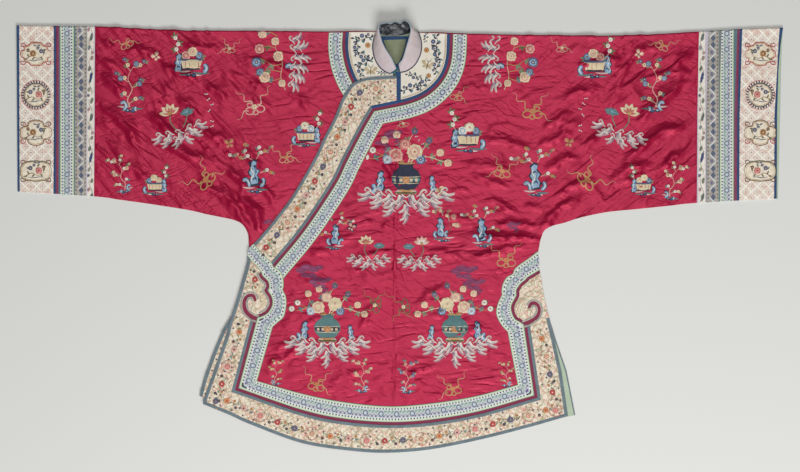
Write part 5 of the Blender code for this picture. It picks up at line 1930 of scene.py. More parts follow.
def garden_rock(needle, x, y, size=1.0, lean=0.0):
    """A tall weathered rock of pale blue stone, with folds and hollows and a navy edge."""
    def at(a, b):
        return x + size * (a + lean * b), y + size * b

    needle.pad([at(a, b) for a, b in ROCK_SHAPE], "navy")
    needle.pad([at(0.76 * a, 2.5 + 0.9 * b) for a, b in ROCK_SHAPE], "sky", 1)
    for rows, width, finish in (
        (((-4, 6), (-6, 16), (0, 24), (-5, 34), (-3, 44)), 2.6, "white"),
        (((3, 5), (5, 14), (1, 22), (5, 32), (2, 42)), 1.8, "blue"),
        (((-3, 12), (1, 17), (5, 12)), 2.8, "navy"), (((-4, 31), (0, 36), (4, 32)), 2.8, "navy"),
    ):
        needle.line([at(a, b) for a, b in rows], width * size, finish, "leaf", 3)


def flowering_twig(needle, rows, finish, flowers, size=4.6):
    """A twig with leaves and a blossom at every bend and at its tip."""
    needle.line(rows, 2.0, finish, "tip", 1)
    for number, (x, y) in enumerate(rows[1:]):
        petal, heart = flowers[number % len(flowers)]
        side = 1 if number % 2 else -1
        green = ("olive", "green", "teal")[(number + len(rows)) % 3]
        leaf_cluster(needle, x, y, 90 - 70 * side, size * 1.9, green, "cream")
        blossom(needle, x - side * size * 0.6, y + size * 0.7, size, petal, heart, 5, 2, 30 * number)


def grass(needle, x, y, half):
    """Low blades and pebbles along the ground."""
    needle.petal(x, y + 2, 178, half, 4, "grey", bend=0.05)
    needle.petal(x, y, -4, half * 1.1, 4.5, "teal", bend=-0.05)
    needle.petal(x, y - 4, 186, half * 0.7, 3.5, "teal", bend=0.05)
    needle.petal(x, y - 4, -10, half * 0.6, 3, "white", bend=-0.05)
    for across, down, radius, finish, level in (
        (-5, 7, 5.5, "navy", 1), (6, 8, 6, "navy", 1), (-5, 6, 3, "sky", 2), (6, 7, 3.4, "blue", 2),
    ):
        needle.disc(x + across, y - down, radius, finish, level, 8, 0.7)


def wave_tongue(needle, x, y, angle, length, finish="grey", level=0):
    """One pointed tongue of foam, white along its back and dark below."""
    cos, sin = heading(angle)
    way = 1 if cos >= 0 else -1
    for share, reach_out, width, tone, rise in (
        (0.0, 1.0, 0.42, finish, 0), (0.1, 0.98, 0.13, "white", 1), (-0.13, 0.86, 0.08, "slate", 1),
    ):
        foot = (x - share * sin * way * length, y + share * cos * way * length)
        needle.petal(*foot, angle, length * reach_out, length * width, tone, "tip", -0.17 * way, level + rise)


def wave_fan(needle, x, y, angle, length):
    """Two tongues of foam thrown out from under a breaking crest."""
    way = 1 if heading(angle)[0] >= 0 else -1
    wave_tongue(needle, x, y, angle - 17 * way, length, "lilac")
    wave_tongue(needle, x, y, angle + 13 * way, length * 0.86, "grey", 1)
    wave_curl(needle, x, y, length * 0.42, way)


def wave_curl(needle, x, y, size, way=1):
    """A crest that breaks over into a curl."""
    rows = [(-0.9, -0.3), (-0.3, 0.1), (0.0, 0.6), (0.45, 0.85), (0.8, 0.55), (0.62, 0.28), (0.4, 0.42)]
    rows = [(x + way * size * a, y + size * b) for a, b in rows]
    needle.line(rows, size * 0.34, "grey", "leaf", 2)
    needle.line(rows, size * 0.16, "white", "tip", 3)


def waves(needle, x, y, half, rows=2, length=26):
    """A bed of waves whose fans sweep out and down to both sides."""
    for row in range(rows):
        span = half * (1 - 0.3 * row)
        count = max(3, round(2 * span / (length * 0.8)))
        for k in range(count):
            share = 2 * k / (count - 1) - 1
            sweep = (30 + 42 * abs(share)) * (1 if share > 0 else -1)
            drop = row * length * 0.6 + 0.25 * length * (1 - abs(share))
            wave_fan(needle, x + span * share * 0.82, y - drop, -90 + sweep, length * (1 - 0.12 * row))


def wavy_tail(start, angle, length, count, height):
    """Points of a ribbon's end that waves away from the knot."""
    cos, sin = heading(angle)
    rows = []
    for t in np.linspace(0, 1, 12 * count + 1):
        ahead, aside = length * t, height * math.sin(2 * math.pi * count * t) * (1 - 0.3 * t)
        rows.append((start[0] + ahead * cos - aside * sin, start[1] + ahead * sin + aside * cos))
    return rows


def knotted_ribbon(needle, first="tan", second="pink"):
    """A ribbon tied in a bow of unequal loops, its long ends waving away."""
    for angle, size, far in ((200, 9.5, 14), (262, 6.5, 13), (318, 10, 15), (18, 6, 12)):
        x, y = heading(angle, far)
        needle.ring(x, y, size, 2.8, first, level=1, flat=0.8)
        needle.ring(x, y, size, 1.0, second, level=2, flat=0.8)
    for start, angle, length, count, height in (
        ((6, 4), 42, 50, 2, 5.5), ((-6, 5), 126, 54, 2, 6), ((14, -10), -34, 34, 1, 6),
    ):
        rows = wavy_tail(start, angle, length, count, height)
        needle.line(rows, 3.2, first, "tip")
        needle.line(rows, 1.2, second, "tip", 1)
    blossom(needle, 0, 0, 5.5, "orange" if first == "tan" else "cream", "rose", 4, 3)


def birds(needle):
    """A few small birds in flight."""
    for x, y, turn in ((-12, 36, 20), (-6, 24, 60), (2, 12, 40), (-4, -2, 70), (1, -26, 10), (2, -38, 50)):
        needle.petal(x, y, turn, 5, 2.4, "white", "petal")
        needle.petal(x, y, turn + 130, 4.4, 2.2, "white", "petal")
        needle.petal(x, y, turn - 110, 3.4, 2.2, "navy", "leaf", level=1)


def butterfly(needle, wing="cream", edge="blue", body="navy"):
    """A butterfly with spread wings."""
    for side in (0, 180):
        way = 1 if side == 0 else -1
        needle.petal(0, 2, side + way * 40, 17, 13, edge, "petal")
        needle.petal(0, 2, side + way * 40, 13, 8, wing, "petal", level=1)
        needle.petal(0, -1, side - way * 38, 12, 9, edge, "petal")
        needle.petal(0, -1, side - way * 38, 9, 5.5, wing, "petal", level=1)
        needle.petal(0, 8, 90 - way * 35, 8, 0.9, body, "tip", way * -0.1, 2)
    needle.line([(0, -9), (0, 0), (0, 8)], 2.8, body, "leaf", 2)


def cloud(needle, size):
    """A bank of cloud puffs with a tail below."""
    puffs = (
        (-0.9, 0.0, 0.5), (-0.35, 0.25, 0.6), (0.3, 0.12, 0.55), (0.85, 0.28, 0.42), (-0.5, -0.45, 0.42),
        (0.1, -0.5, 0.5), (0.55, -0.85, 0.34), (0.3, -1.2, 0.28),
    )
    for x, y, radius in puffs:
        needle.disc(x * size, y * size, radius * size, "dusk", 0, 12, 0.55)
    for x, y, radius in puffs:
        rows = [(-0.9, -0.1), (-0.3, -0.42), (0.4, -0.38), (0.9, 0.0), (0.5, 0.2), (0.2, 0.0)]
        rows = [((x + radius * a) * size, (y + radius * b * 0.9) * size) for a, b in rows]
        needle.line(rows, size * 0.1, "plum", "leaf", 3)


def flower_tree(needle, flower="slate", heart="cream", small="cream"):
    """A slender flowering tree that grows from a tuft of rock and grass."""
    grass(needle, 0, 2, 27)
    needle.line([(0, 3), (-5, 20), (5, 42), (-4, 64), (2, 82), (11, 96)], 3.0, "pink", "tip", 1)
    flowers = ((small, "rose"), (flower, heart), (small, "orange"))
    twigs = (
        ((-3, 58), (-14, 64), (-27, 74)), ((4, 46), (15, 50), (26, 60)), ((2, 82), (-7, 92), (-9, 104)),
        ((-2, 10), (10, 18), (25, 20)), ((-4, 26), (-14, 30)), ((7, 90), (20, 92), (34, 100)),
    )
    for twig in twigs:
        flowering_twig(needle, twig, "pink", flowers)
    for x, y in ((-20, 66), (21, 54), (14, 98)):
        peony(needle, x, y, 6.5, flower, "sky" if flower == "slate" else heart, heart, 3)
    rock(needle, [(-14, -4), (-8, 5), (-13, 14), (-20, 10)], 9)
    rock(needle, [(10, -5), (13, 4)], 9)


def peony_bush(needle, outer="pink", middle="rose", heart="cream"):
    """A peony by a garden rock."""
    garden_rock(needle, 17, -6, 1.1, 0.05)
    rock(needle, [(0, -4), (5, 6), (-2, 13)], 11)
    rock(needle, [(31, -6), (36, 4), (31, 12)], 11)
    grass(needle, 8, -8, 30)
    needle.line([(2, 2), (-10, 18), (-6, 36), (-16, 50)], 2.6, "brown", "tip", 1)
    flowers = (("cream", "rose"), (outer, "orange"))
    flowering_twig(needle, [(-8, 24), (-22, 28), (-34, 24)], "brown", flowers)
    flowering_twig(needle, [(-8, 40), (-2, 54), (-6, 68)], "pink", flowers)
    flowering_twig(needle, [(12, 56), (16, 68), (28, 72), (36, 66)], "pink", flowers)
    leaf_cluster(needle, -16, 50, 160, 12)
    peony(needle, -19, 54, 9, outer, middle, heart, 3)
    peony(needle, -28, 30, 7, "cream", outer, "rose", 3)


def plum_and_rock(needle, flower="white", twig="pink"):
    """Blossoming plum twigs reaching out from a folded rock."""
    rock(needle, [(-12, -8), (-14, 2), (-20, 9), (-27, 5)], 11)
    rock(needle, [(13, -8), (21, 2), (18, 12)], 11)
    garden_rock(needle, 0, -8, 1.2, -0.05)
    grass(needle, 0, -12, 28)
    flowers = ((flower, "rose"), ("tan", "red"), ("rose", "cream"))
    for rows in (
        ((-6, 54), (-18, 60), (-30, 56), (-42, 64), (-54, 62)), ((-18, 60), (-24, 72), (-20, 86)),
        ((4, 56), (12, 68), (26, 72), (38, 82)), ((12, 68), (8, 80)), ((12, 24), (26, 28), (40, 22)),
    ):
        flowering_twig(needle, rows, twig, flowers, 4.2)


def planter(needle, outer="pink", middle="rose"):
    """A low planter of flowers on grass, between a garden rock with a blossoming twig and a small rock."""
    grass(needle, 4, -6, 40)
    garden_rock(needle, -26, -8, 0.86, 0.06)
    rock(needle, [(33, -8), (39, 2), (34, 12)], 12)
    needle.pad([(-15, 0), (25, 0), (30, 22), (-20, 22)], "cream", 2)
    needle.line([(-21, 22), (5, 21), (31, 22)], 5, "slate", level=4)
    needle.line([(-15, 1), (5, 0), (25, 1)], 4, "navy", level=4)
    for x in (-9, 1, 11, 21):
        needle.line([(x, 4), (x + 0.2, 11), (x, 18)], 1.6, "rose" if x % 2 else "teal", level=4)
    needle.line([(-22, 32), (-30, 46), (-24, 60), (-32, 72)], 2.2, "pink", "tip", 1)
    for x, y, angle in ((-32, 72, 100), (-26, 58, 20), (-30, 46, 170)):
        leaf_cluster(needle, x, y, angle, 14, "olive", "cream")
        blossom(needle, x, y, 5, "white", "orange", 5, 2)
    for x, y, angle in ((-12, 26, 150), (0, 34, 100), (14, 30, 60), (26, 26, 20)):
        leaf_cluster(needle, x, y, angle, 13)
    peony(needle, -8, 32, 10, outer, middle, "cream", 2)
    peony(needle, 8, 40, 11, "cream", outer, "rose", 3)
    peony(needle, 22, 32, 9, "slate", "sky", "cream", 2)


def lotus_on_waves(needle, outer="cream", inner="rose"):
    """A lotus with its leaf, rising from a few waves."""
    waves(needle, 0, 0, 42, 2, 20)
    needle.line([(-4, 2), (-10, 18), (-6, 32)], 2, "green", "even", 1)
    needle.line([(8, 2), (18, 14), (24, 26)], 2, "green", "even", 1)
    for angle in (20, 55, 90, 125, 160):
        needle.petal(-6, 32, angle, 19, 9, outer, "leaf", level=2)
        needle.petal(-6, 32, angle, 13, 4.5, inner, "leaf", level=3)
    needle.pad([(10, 26), (18, 32), (28, 33), (38, 27), (32, 21), (20, 20)], "teal", 1)
    for angle in (10, 60, 120, 175):
        needle.petal(24, 26, angle, 10, 1.2, "sky", "tip", level=3)
    needle.disc(-6, 34, 4, "tan", 4, 8)


def vase_of_peonies(needle, glaze="navy", band="teal", outer="pink", middle="rose"):
    """A round vase of peonies on a bed of waves, with sprays to both sides."""
    waves(needle, 0, -4, 104, 3, 34)
    profile = ((2, 15), (8, 24), (20, 33), (34, 35), (46, 29), (54, 18), (60, 15), (66, 20))
    rows = [(half, y) for y, half in profile] + [(-half, y) for y, half in profile[::-1]]
    needle.pad(rows, glaze, 2)
    for y, half, width, finish, level in (
        (66, 20, 4, "tan", 4), (2, 18, 5, "tan", 4), (-4, 26, 5, "olive", 4), (27, 33, 12, band, 4),
        (34, 34, 1.6, "cream", 5), (19, 31, 1.6, "cream", 5),
    ):
        needle.line([(-half, y), (0, y - 1.5), (half, y)], width, finish, level=level)
    for x in (-24, -12, 12, 24):
        blossom(needle, x, 26, 4, "cream", "rose", 5, 5)
    peony(needle, 0, 26, 9, "orange", "tan", "cream", 5)
    stems = (
        ((-4, 64), (-14, 84), (-12, 112), (-22, 132)), ((4, 64), (12, 90), (8, 118), (20, 140)),
        ((-8, 66), (-30, 82), (-54, 84), (-78, 96)), ((8, 66), (30, 84), (56, 80), (80, 90)),
        ((-30, 82), (-46, 100), (-50, 120)), ((30, 84), (44, 104), (54, 118)),
        ((-54, 84), (-74, 76), (-94, 80)), ((56, 80), (78, 72), (98, 66)),
    )
    for number, rows in enumerate(stems):
        needle.line(rows, 2.8, "cream" if number % 2 else "tan", "tip", 1)
        x, y = rows[-1]
        for a, b in rows[1:-1]:
            leaf_cluster(needle, a, b, 160 - 3 * a, 14, "green" if number % 2 else "teal", "pale_green")
        leaf_cluster(needle, x, y, 90 - x * 0.8, 13, "olive", "pale_green")
        if number in (0, 3, 4, 7):
            peony(needle, x, y, 9, "cream", "pink", "orange", 2)
        else:
            blossom(needle, x, y, 7.5, "slate" if number % 2 else "white", "tan", 6, 2)
    for x, y, radius, tones in (
        (-24, 84, 17, (outer, middle, "cream")), (20, 92, 19, ("cream", outer, middle)),
        (-2, 110, 14, (middle, outer, "cream")), (34, 74, 12, ("slate", "sky", "cream")),
        (-44, 74, 11, ("sky", "white", "orange")),
    ):
        peony(needle, x, y, radius, *tones, 3)
    garden_rock(needle, -62, -2, 0.95, 0.08)
    rock(needle, [(-79, -4), (-73, 6), (-79, 16)], 14)
    garden_rock(needle, 64, -2, 0.74, -0.1)


def peony_branch(needle, outer="cream", middle="pink"):
    """A long branch of peonies over a strip of waves."""
    waves(needle, 0, -52, 84, 2, 30)
    needle.line([(-88, -34), (-52, -22), (-14, -26), (24, -8), (60, -12), (90, 6)], 5, "tan", "tip", 1)
    needle.line([(-88, -33), (-52, -21), (-14, -25), (24, -7), (60, -11)], 1.6, "cream", "tip", 2)
    twigs = (
        ((-56, -22), (-62, 0), (-54, 22)), ((-18, -26), (-22, 0), (-8, 24), (-14, 44)),
        ((24, -8), (30, 14), (22, 36)), ((56, -12), (66, 8), (62, 28)), ((-40, -24), (-34, 8), (-40, 34)),
    )
    for number, rows in enumerate(twigs):
        needle.line(rows, 2.4, "tan", "tip", 1)
        for a, b in rows[1:]:
            leaf_cluster(needle, a, b, 60 + 50 * (number % 3), 15, ("teal", "green", "olive")[number % 3])
        tones = ((outer, middle, "orange"), ("slate", "sky", "cream"), (middle, "rose", "cream"))[number % 3]
        peony(needle, *rows[-1], 15 - number, *tones, 3)
    for x, y, radius in ((-70, -24, 10), (2, -14, 14), (42, -6, 11), (84, 8, 9)):
        peony(needle, x, y, radius, outer, middle, "tan", 3)
    rock(needle, [(-30, -54), (-22, -44), (-28, -34)], 15)


def whole_frame(quarter):
    """A frame's outline from its first quarter, mirrored left and down."""
    half = list(quarter) + [(-x, y) for x, y in quarter[-2::-1]]
    return half + [(x, -y) for x, y in half[-2:0:-1]]


def square_scroll(needle, x, y, way_x, way_y, finish):
    """A small square-turned scroll at a frame's corner."""
    rows = [(0, 0), (3, 6), (10, 6), (10, 0), (5, 1), (6, 3)]
    needle.line([(x + way_x * a, y + way_y * b) for a, b in rows], 1.5, finish, "even", 3)


def medallion(needle, kind, tones):
    """A flower spray in a frame: pointed with square scrolls, toothed, lobed or long."""
    rim = whole_frame(MEDALLION_FRAMES[kind])
    needle.pad(rim, "sand")
    needle.line(rim + rim[:1], 1.7, ("red", "navy", "brown", "olive")[kind], level=2)
    needle.line([(0.9 * x, 0.9 * y) for x, y in rim + rim[:1]], 0.9, "tan", level=3)
    if kind == 1:
        needle.ring(0, 0, 30, 1.2, "rose")
        for angle in range(0, 360, 12):
            needle.petal(*heading(angle, 25), angle + 25, 5, 2.8, "navy", level=2)
    else:
        for way_x in (-1, 1):
            for way_y in (-1, 1):
                finish = "brown" if kind == 3 or (kind == 2 and way_y > 0) else "red"
                square_scroll(needle, way_x * 20, way_y * 15, way_x, way_y, finish)
    shift = -1 if kind % 2 else 1
    needle.line([(-19, -9), (-8, -4), (4, -9), (15, -3), (19, 5)], 1.4, "brown", "tip", 3)
    needle.line([(-18, -12), (-6, -14), (7, -12), (17, -13)], 1.6, "slate", "leaf", 3)
    for x, y, angle in (
        (-13, -6, 120), (-3, -6, 225), (9, -6, -55), (16, -1, 70), (-17, -9, 190), (4, 8, 60),
        (-12, 5, 160), (14, 6, 20),
    ):
        leaf(needle, x, y, angle, 8, "olive", "grey", 3)
    peony(needle, -6 * shift, 1, 7, *tones, 4)
    blossom(needle, 11 * shift, 6, 4.6, "slate", "cream", 5, 4)
    blossom(needle, -16 * shift, 8, 3.4, "brown", "cream", 5, 4)
    blossom(needle, 4 * shift, 12, 3, "slate", "sand", 5, 4)
    for way in (0, 1):
        needle.petal(2, 16, 20 + 140 * way, 8, 2.6, "slate", level=4)


def band_flower(needle, petal="red", heart="cream", foliage="green"):
    """A small flower with curling leaves, as wide as the cream bands."""
    needle.line([(-21, -5), (-13, 5), (-4, 1), (5, -4), (14, 3), (22, -3)], 1.3, foliage, "leaf")
    for x, y, angle in ((-14, 4, 130), (-9, 2, -70), (8, -3, 60), (15, 2, -50), (19, -2, 50)):
        needle.petal(x, y, angle, 7, 2.8, foliage, bend=0.1)
    blossom(needle, 0, 1, 7, petal, heart)
    blossom(needle, -17, -6, 3.4, "navy", "tan")
    blossom(needle, 17, 7, 3.4, "tan", "red")


def band_ring(needle, petal="pink", heart="red"):
    """A flower in a thin ring, as high as the cream bands."""
    needle.ring(0, 0, 14.5, 1.1, "rose", 1)
    peony(needle, 0, 0, 8.5, petal, "rose", heart)
    for angle in (45, 135, 225, 315):
        needle.petal(*heading(angle, 10.5), angle + 90, 6, 2.4, "green", bend=-0.2)


def yoke_flower(needle, petal="slate", heart="sky"):
    """A blue flower on a twig of dark leaves."""
    needle.line([(-17, -4), (-6, -1), (3, -2), (12, 1), (18, 6)], 1.8, "navy", "tip")
    leaves = (
        (-15, -4, 140), (-12, -3, -120), (-7, -2, 75), (-3, -1, -60), (4, -2, -110), (8, 0, 60), (12, 1, -40),
        (15, 3, 95), (18, 6, 20),
    )
    for number, (x, y, angle) in enumerate(leaves):
        needle.petal(x, y, angle, 8, 4, "teal" if number % 3 == 1 else "navy", bend=0.12)
    blossom(needle, 1, 6, 4.8, petal, heart, 6)
    blossom(needle, -12, 4, 3.2, "slate", "cream")


def tan_blossom(needle):
    """A round tan flower with many petals."""
    blossom(needle, 0, 0, 6.5, "tan", "red", 8)


def moth(needle):
    """A pale moth with long feelers."""
    for side in (-1, 1):
        for angle, length, width, finish in (
            (28, 13, 6.5, "pale_tan"), (62, 10, 5, "sand"), (-30, 9, 5, "pale_tan"),
        ):
            needle.petal(0, 0, 90 - side * (90 - angle), length, width, finish, "petal", level=1)
        needle.petal(0, 6, 90 - side * 30, 9, 1.0, "olive", "tip", side * -0.15, 2)
    needle.line([(0, -8), (0, 0), (0, 7)], 2.2, "olive", "leaf", 3)


# Motifs on the satin by their kind: x, y, size, turn, mirrored, and the colours when they differ
SATIN_MOTIFS = {
    vase_of_peonies: [
        (14, 106, 0.98, 0, False), (-167, -234, 0.87, 0, False, "teal", "navy", "cream", "pink"),
        (126, -234, 0.87, 0, True, "teal", "navy", "cream", "pink"),
    ],
    peony_branch: [(-292, 414, 0.86, 90, False), (268, 414, 0.86, -90, True)],
    flower_tree: [
        (-621, 296, 1.05, 0, False), (586, 296, 1.05, 0, True),
        (-632, 108, 0.74, 12, True, "cream", "rose", "white"),
        (620, 92, 0.74, -12, False, "cream", "rose", "white"),
        (-86, -352, 0.66, 0, True, "cream", "rose", "pink"),
        (16, -354, 0.66, 0, False, "slate", "cream", "pink"),
        (-286, -336, 0.5, 0, False, "tan", "cream", "cream"),
        (246, -340, 0.5, 0, True, "tan", "cream", "cream"),
    ],
    lotus_on_waves: [
        (-508, 246, 1.3, 18, False), (506, 246, 1.3, -18, True), (-72, -46, 1.0, 0, False),
        (44, -48, 1.0, 0, True, "pink", "white"),
    ],
    birds: [(-434, 292, 1.0, 0, False), (416, 282, 1.0, 0, True), (52, 204, 0.8, 10, False)],
    planter: [
        (-484, 386, 1.0, 0, False), (452, 382, 1.0, 0, True), (-560, 108, 0.72, 0, True, "cream", "pink"),
        (556, 108, 0.72, 0, False, "cream", "pink"), (-212, 222, 0.86, 0, True, "white", "sky"),
        (152, 212, 1.02, 0, False, "white", "sky"),
    ],
    plum_and_rock: [
        (-334, 124, 1.0, 0, False), (312, 116, 1.0, 0, False), (-150, -12, 0.76, 0, True),
        (190, -4, 0.86, 0, False),
    ],
    peony_bush: [(108, 4, 0.8, 0, True, "rose", "pink", "cream")],
    butterfly: [
        (-112, 22, 0.8, -25, False, "pink", "navy"), (92, 104, 0.8, 20, False, "tan", "cream", "brown"),
        (-392, 214, 0.8, 10, False, "tan", "rose", "brown"),
        (388, 216, 0.8, -10, False, "tan", "rose", "brown"), (-560, 414, 0.7, 35, False, "cream", "pink"),
        (548, 420, 0.7, -35, False, "cream", "pink"),
    ],
    knotted_ribbon: [
        (-448, 132, 1.0, 60, False), (-334, 300, 1.0, 0, True, "pink", "tan"), (-262, 184, 0.75, 20, False),
        (-630, 446, 0.7, 40, False), (304, 290, 1.0, 10, False), (236, 152, 0.85, -20, True),
        (432, 132, 1.05, -60, True), (244, -52, 0.95, 10, False),
        (-58, -156, 0.8, 90, False, "olive", "tan"), (8, -160, 0.8, 90, True, "olive", "tan"),
        (-192, -338, 0.85, 0, False), (122, -348, 0.85, 0, True), (604, 442, 0.7, -40, True),
        (372, 436, 0.6, 15, False, "pink", "tan"), (-392, 434, 0.6, -15, True, "pink", "tan"),
        (130, 326, 0.66, 0, False), (8, 262, 0.5, 0, True, "pink", "tan"),
    ],
}
# Clouds on the satin: x, y and size
SATIN_CLOUDS = [
    (-206, -76, 24), (-182, -102, 20), (150, -78, 24), (172, -106, 20), (-40, 226, 20), (-14, 238, 16),
    (-296, 34, 13), (262, 28, 13),
]
# More motifs that only the back has, where the front has its closing band
BACK_MOTIFS = {
    peony_bush: [(-60, 300, 0.9, 0, True)],
    knotted_ribbon: [(-150, 140, 1.0, 20, False), (-200, 20, 0.9, 0, True)],
    flower_tree: [(60, 250, 0.8, 0, False)],
}
# Flowers and moths on the yokes by their kind: x, y, size and turn
YOKE_MOTIFS = {
    yoke_flower: [
        (83, 447, 1.15, 80), (86, 420, 1.0, 100), (84, 394, 1.0, 72), (54, 352, 1.0, 38), (23, 342, 1.1, 8),
        (34, 371, 0.85, 150), (60, 460, 0.6, 70), (-84, 457, 1.1, 20), (-99, 438, 0.9, 100),
        (-88, 421, 1.0, 160), (-80, 402, 1.0, 35), (-90, 384, 0.9, 110), (-42, 377, 0.5, 0),
    ],
    moth: [(63, 395, 1.3, -15), (-67, 381, 1.3, 0)],
    tan_blossom: [(61, 430, 1.0, 0), (66, 371, 0.9, 0), (-74, 441, 1.0, 0)],
}
# The loop that the collar's button goes through, below the collar's two ends
COLLAR_LOOP = [(-17, 380), (-8, 382), (-7, 370), (-16, 371)]
# Lines sewn round the yokes: how far in from the piping, width and thread
YOKE_LINES = ((2.4, 2.2, "pale_tan"), (4.8, 0.9, "grey"))
# A quarter of each medallion's frame on the cuffs, and the height of each medallion
MEDALLION_FRAMES = (
    ((31, 0), (30, 6), (24, 9), (24, 15), (15, 18), (10, 23), (0, 24)),
    ((24, 0), (23, 8), (17, 17), (8, 23), (0, 24)),
    ((31, 0), (32, 7), (25, 13), (17, 14), (15, 21), (7, 25), (0, 26)),
    ((32, 0), (30, 10), (22, 18), (10, 20), (0, 21)),
)
MEDALLION_HEIGHTS = (421, 327, 240, 152)
CUFF_BAND_MIDDLES = (-837, 828)
# Flowers along the hem and the closing: spacing, first one, line in from the edge, and room that each needs
HEM_SPACING = 42
HEM_FIRST = 24
HEM_LINE = BINDING + BAND / 2 - 1
CLOSING_SPACING = 38
CLOSING_FIRST = 32
CLOSING_LINE = -CLOSING_BINDING - 21
BAND_ROOM = 12
CURL_ROOM = 14
# Width of the braid round the curls, and its distance from their edge
BRAID = 4.2
BRAID_GAP = 0.6
# Where the left slit starts, under a small knot
SLIT_KNOT = (341, -186)


def sew(work, motif, x, y, size, turn, mirror, *colours):
    """Sews one motif at its place."""
    motif(Needle(work, x, y, size, turn, mirror), *colours)


def sew_along(work, line, spacing, motifs, first, node):
    """Sews motifs in turn along a line, wherever the band is wide enough and clear of the curls."""
    line = np.array([point[:2] for point in line])
    distance = np.concatenate(([0], np.cumsum(np.linalg.norm(np.diff(line, axis=0), axis=1))))
    for number, spot in enumerate(np.arange(first, distance[-1] - BAND_ROOM, spacing)):
        x, ahead_x = np.interp((spot, spot + 2), distance, line[:, 0])
        y, ahead_y = np.interp((spot, spot + 2), distance, line[:, 1])
        turn = math.degrees(math.atan2(ahead_y - y, ahead_x - x))
        spots = [(x, y), (x + BAND_ROOM, y), (x - BAND_ROOM, y)]
        near_curl = min(distance_to(spots, slot).min() for slot in (LEFT_CURL, RIGHT_CURL)) < CURL_ROOM
        if near_curl or (node and any(work.cloth_at(*spot)[1] != node for spot in spots)):
            continue
        motif, *colours = motifs[number % len(motifs)]
        sew(work, motif, x, y, 1.0, turn, False, *colours)


def sew_centre_seam(work):
    """The low ridge of the pressed centre seam, in short runs down the satin."""
    line = np.array(straight(SEAM_COURSE, SEAM_STEP))
    for first in range(0, len(line) - 1, SEAM_RUN):
        run = line[first:first + SEAM_RUN + 1]
        if len(run) > 2:
            work.stroke(run, np.full(len(run), SEAM_RIDGE), "seam_satin", SEAM_LEVEL)


def sew_cloud_corners(work):
    """Dotted braid along the curled slots and the cloud lobes, with a cream comma in each curl."""
    _, hem_side, left_notch, upright_start, upright_end = ribbon_edges()
    lobes = (hem_side[left_notch:upright_start - 2], hem_side[upright_end + 2:])
    for slot, lobe in zip((LEFT_CURL, RIGHT_CURL), lobes):
        middle = smooth(slot, CURL_STEP)
        beside_slot = slot[len(slot) // 2][2] / 2 + BRAID / 2 + BRAID_GAP
        for line in (
            offset(middle, -beside_slot), offset(middle, beside_slot),
            offset(lobe, -GROUND_STRIP - BRAID / 2 - BRAID_GAP),
        ):
            work.stroke(line, np.full(len(line), BRAID), "dotted_braid")
        line = offset(lobe, -GROUND_STRIP - BRAID * 1.5 - 5)
        work.stroke(line, taper("leaf", len(line)) * 6, "cream")
    needle = Needle(work, *SLIT_KNOT)
    needle.disc(0, 0, 5.5, "navy", 2, 10)
    needle.ring(0, 0, 4, 1.6, "teal", 4)


def sew_trimmings(work):
    """Flowers on the cream bands, the yokes and the cuffs."""
    for x in CUFF_BAND_MIDDLES:
        for number, y in enumerate(MEDALLION_HEIGHTS):
            tones = (("tan", "brown", "cream"), ("rose", "pink", "red"))[number % 2]
            sew(work, medallion, x, y, 1.12, 0, x > 0, number, tones)
    hem_motifs = [
        (band_ring,), (band_flower, "red", "cream"), (band_flower, "slate", "tan", "olive"),
        (band_ring, "cream", "red"), (band_flower, "orange", "red"), (band_flower, "pink", "navy", "teal"),
    ]
    hem_node = "hem_band" if work.way > 0 else None
    sew_along(work, offset(FRONT_EDGE, HEM_LINE), HEM_SPACING, hem_motifs, HEM_FIRST, hem_node)
    if work.way > 0:
        closing = offset(CLOSING, CLOSING_LINE)
        sew_along(work, closing, CLOSING_SPACING, hem_motifs[1:], CLOSING_FIRST, "closing_band")
        for motif, rows in YOKE_MOTIFS.items():
            for x, y, size, turn in rows:
                sew(work, motif, x, y, size, turn, x < 0)
        Needle(work, 0, 0).pad(COLLAR_LOOP, "teal", 1)
        for inwards, width, finish in YOKE_LINES:
            for node, guide, way in (("left_yoke", NECK_GUIDE, -1), ("right_yoke", UNDER_GUIDE, 1)):
                line = offset(smooth(guide, NECK_STEP), way * inwards)
                line = [point[:2] for point in line if work.cloth_at(*point[:2])[1] == node]
                work.stroke(line, np.full(len(line), width), finish)
    sew_cloud_corners(work)


def embroider(cloth):
    """All embroidery, by the node of the cloth below it."""
    found = {}
    for underneath in (False, True):
        work = Embroidery(cloth, underneath)
        work.allowed = {"right_half", "left_half", "overlap"}
        for table in (SATIN_MOTIFS, BACK_MOTIFS) if underneath else (SATIN_MOTIFS,):
            for motif, rows in table.items():
                for row in rows:
                    sew(work, motif, *row)
        for x, y, size in SATIN_CLOUDS:
            cloud(Needle(work, x, y), size)
        if not underneath:
            sew_centre_seam(work)
        work.allowed = set(cloth)
        sew_trimmings(work)
        for node, made in work.meshes().items():
            found.setdefault(node, []).append(made)
    return found


# Floor, light and camera

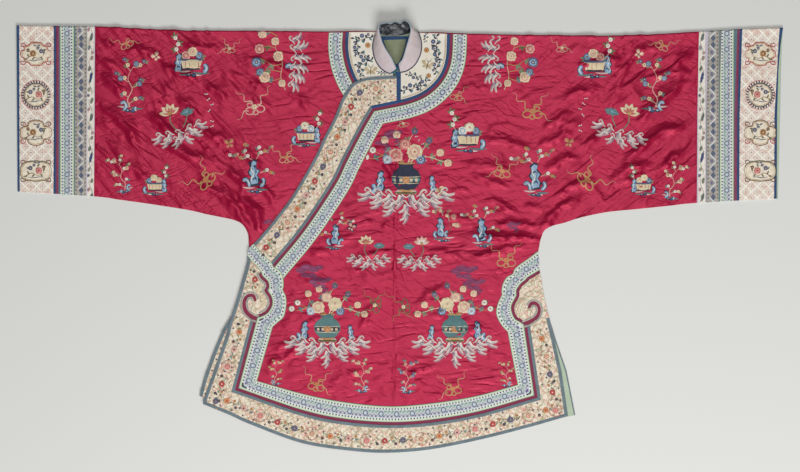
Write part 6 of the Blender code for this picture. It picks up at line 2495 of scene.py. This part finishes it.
FRAME_WIDTH = 1.84
CAMERA_HEIGHT = 6.0
CAMERA_Y = 0.0028
SENSOR_WIDTH = 36
FLOOR_GREY = (226, 227, 223)
FLOOR_HALF = 12
FLOOR_DROP = 0.0005
ROOM_LIGHT = 0.11
# Each light: name, its place, the place it aims at, its width and height, and its power
LIGHTS = (
    ("top", (0.3, 0.0, 6.6), (0.1, 0, 0), (3.2, 3.2), 165),
    ("key", (0.7, -3.4, 3.0), (0.1, -0.1, 0), (3.0, 1.7), 146),
)


def floor():
    """A plain pale floor."""
    mesh = bpy.data.meshes.new("floor")
    half = FLOOR_HALF
    corners = [(-half, -half, 0), (half, -half, 0), (half, half, 0), (-half, half, 0)]
    mesh.from_pydata(corners, [], [(0, 1, 2, 3)])
    mesh.materials.append(Fabric("floor_paper", FLOOR_GREY, 0.9, specular=0.1).material)
    made = add_object("floor", mesh)
    made.location.z = -FLOOR_DROP


def area_light(name, place, aim, size, power):
    """A soft rectangular light that faces a place."""
    data = bpy.data.lights.new(name, "AREA")
    data.shape = "RECTANGLE"
    data.size, data.size_y = size
    data.energy = power
    made = add_object(name, data)
    made.location = place
    made.rotation_euler = (Vector(aim) - Vector(place)).to_track_quat("-Z", "Y").to_euler()


def light_and_camera():
    """An even white room, two soft lights and a camera straight above the coat."""
    world = bpy.data.worlds.new("studio")
    world.use_nodes = True
    background = world.node_tree.nodes["Background"]
    background.inputs["Color"].default_value = (1.0, 1.0, 1.0, 1.0)
    background.inputs["Strength"].default_value = ROOM_LIGHT
    bpy.context.scene.world = world
    for light in LIGHTS:
        area_light(*light)
    data = bpy.data.cameras.new("camera")
    data.sensor_width = SENSOR_WIDTH
    data.lens = SENSOR_WIDTH * CAMERA_HEIGHT / FRAME_WIDTH
    camera = add_object("camera", data)
    camera.location = (0, CAMERA_Y, CAMERA_HEIGHT)
    bpy.context.scene.camera = camera
    bpy.context.scene.view_settings.view_transform = "Standard"


def main():
    fabrics()
    cloth, on_cloth = dress()
    for node, threads in embroider(cloth).items():
        on_cloth.setdefault(node, []).extend(threads)
    for node, pieces in cloth.items():
        declare(node, pieces, on_cloth.get(node, ()))
    floor()
    light_and_camera()


main()
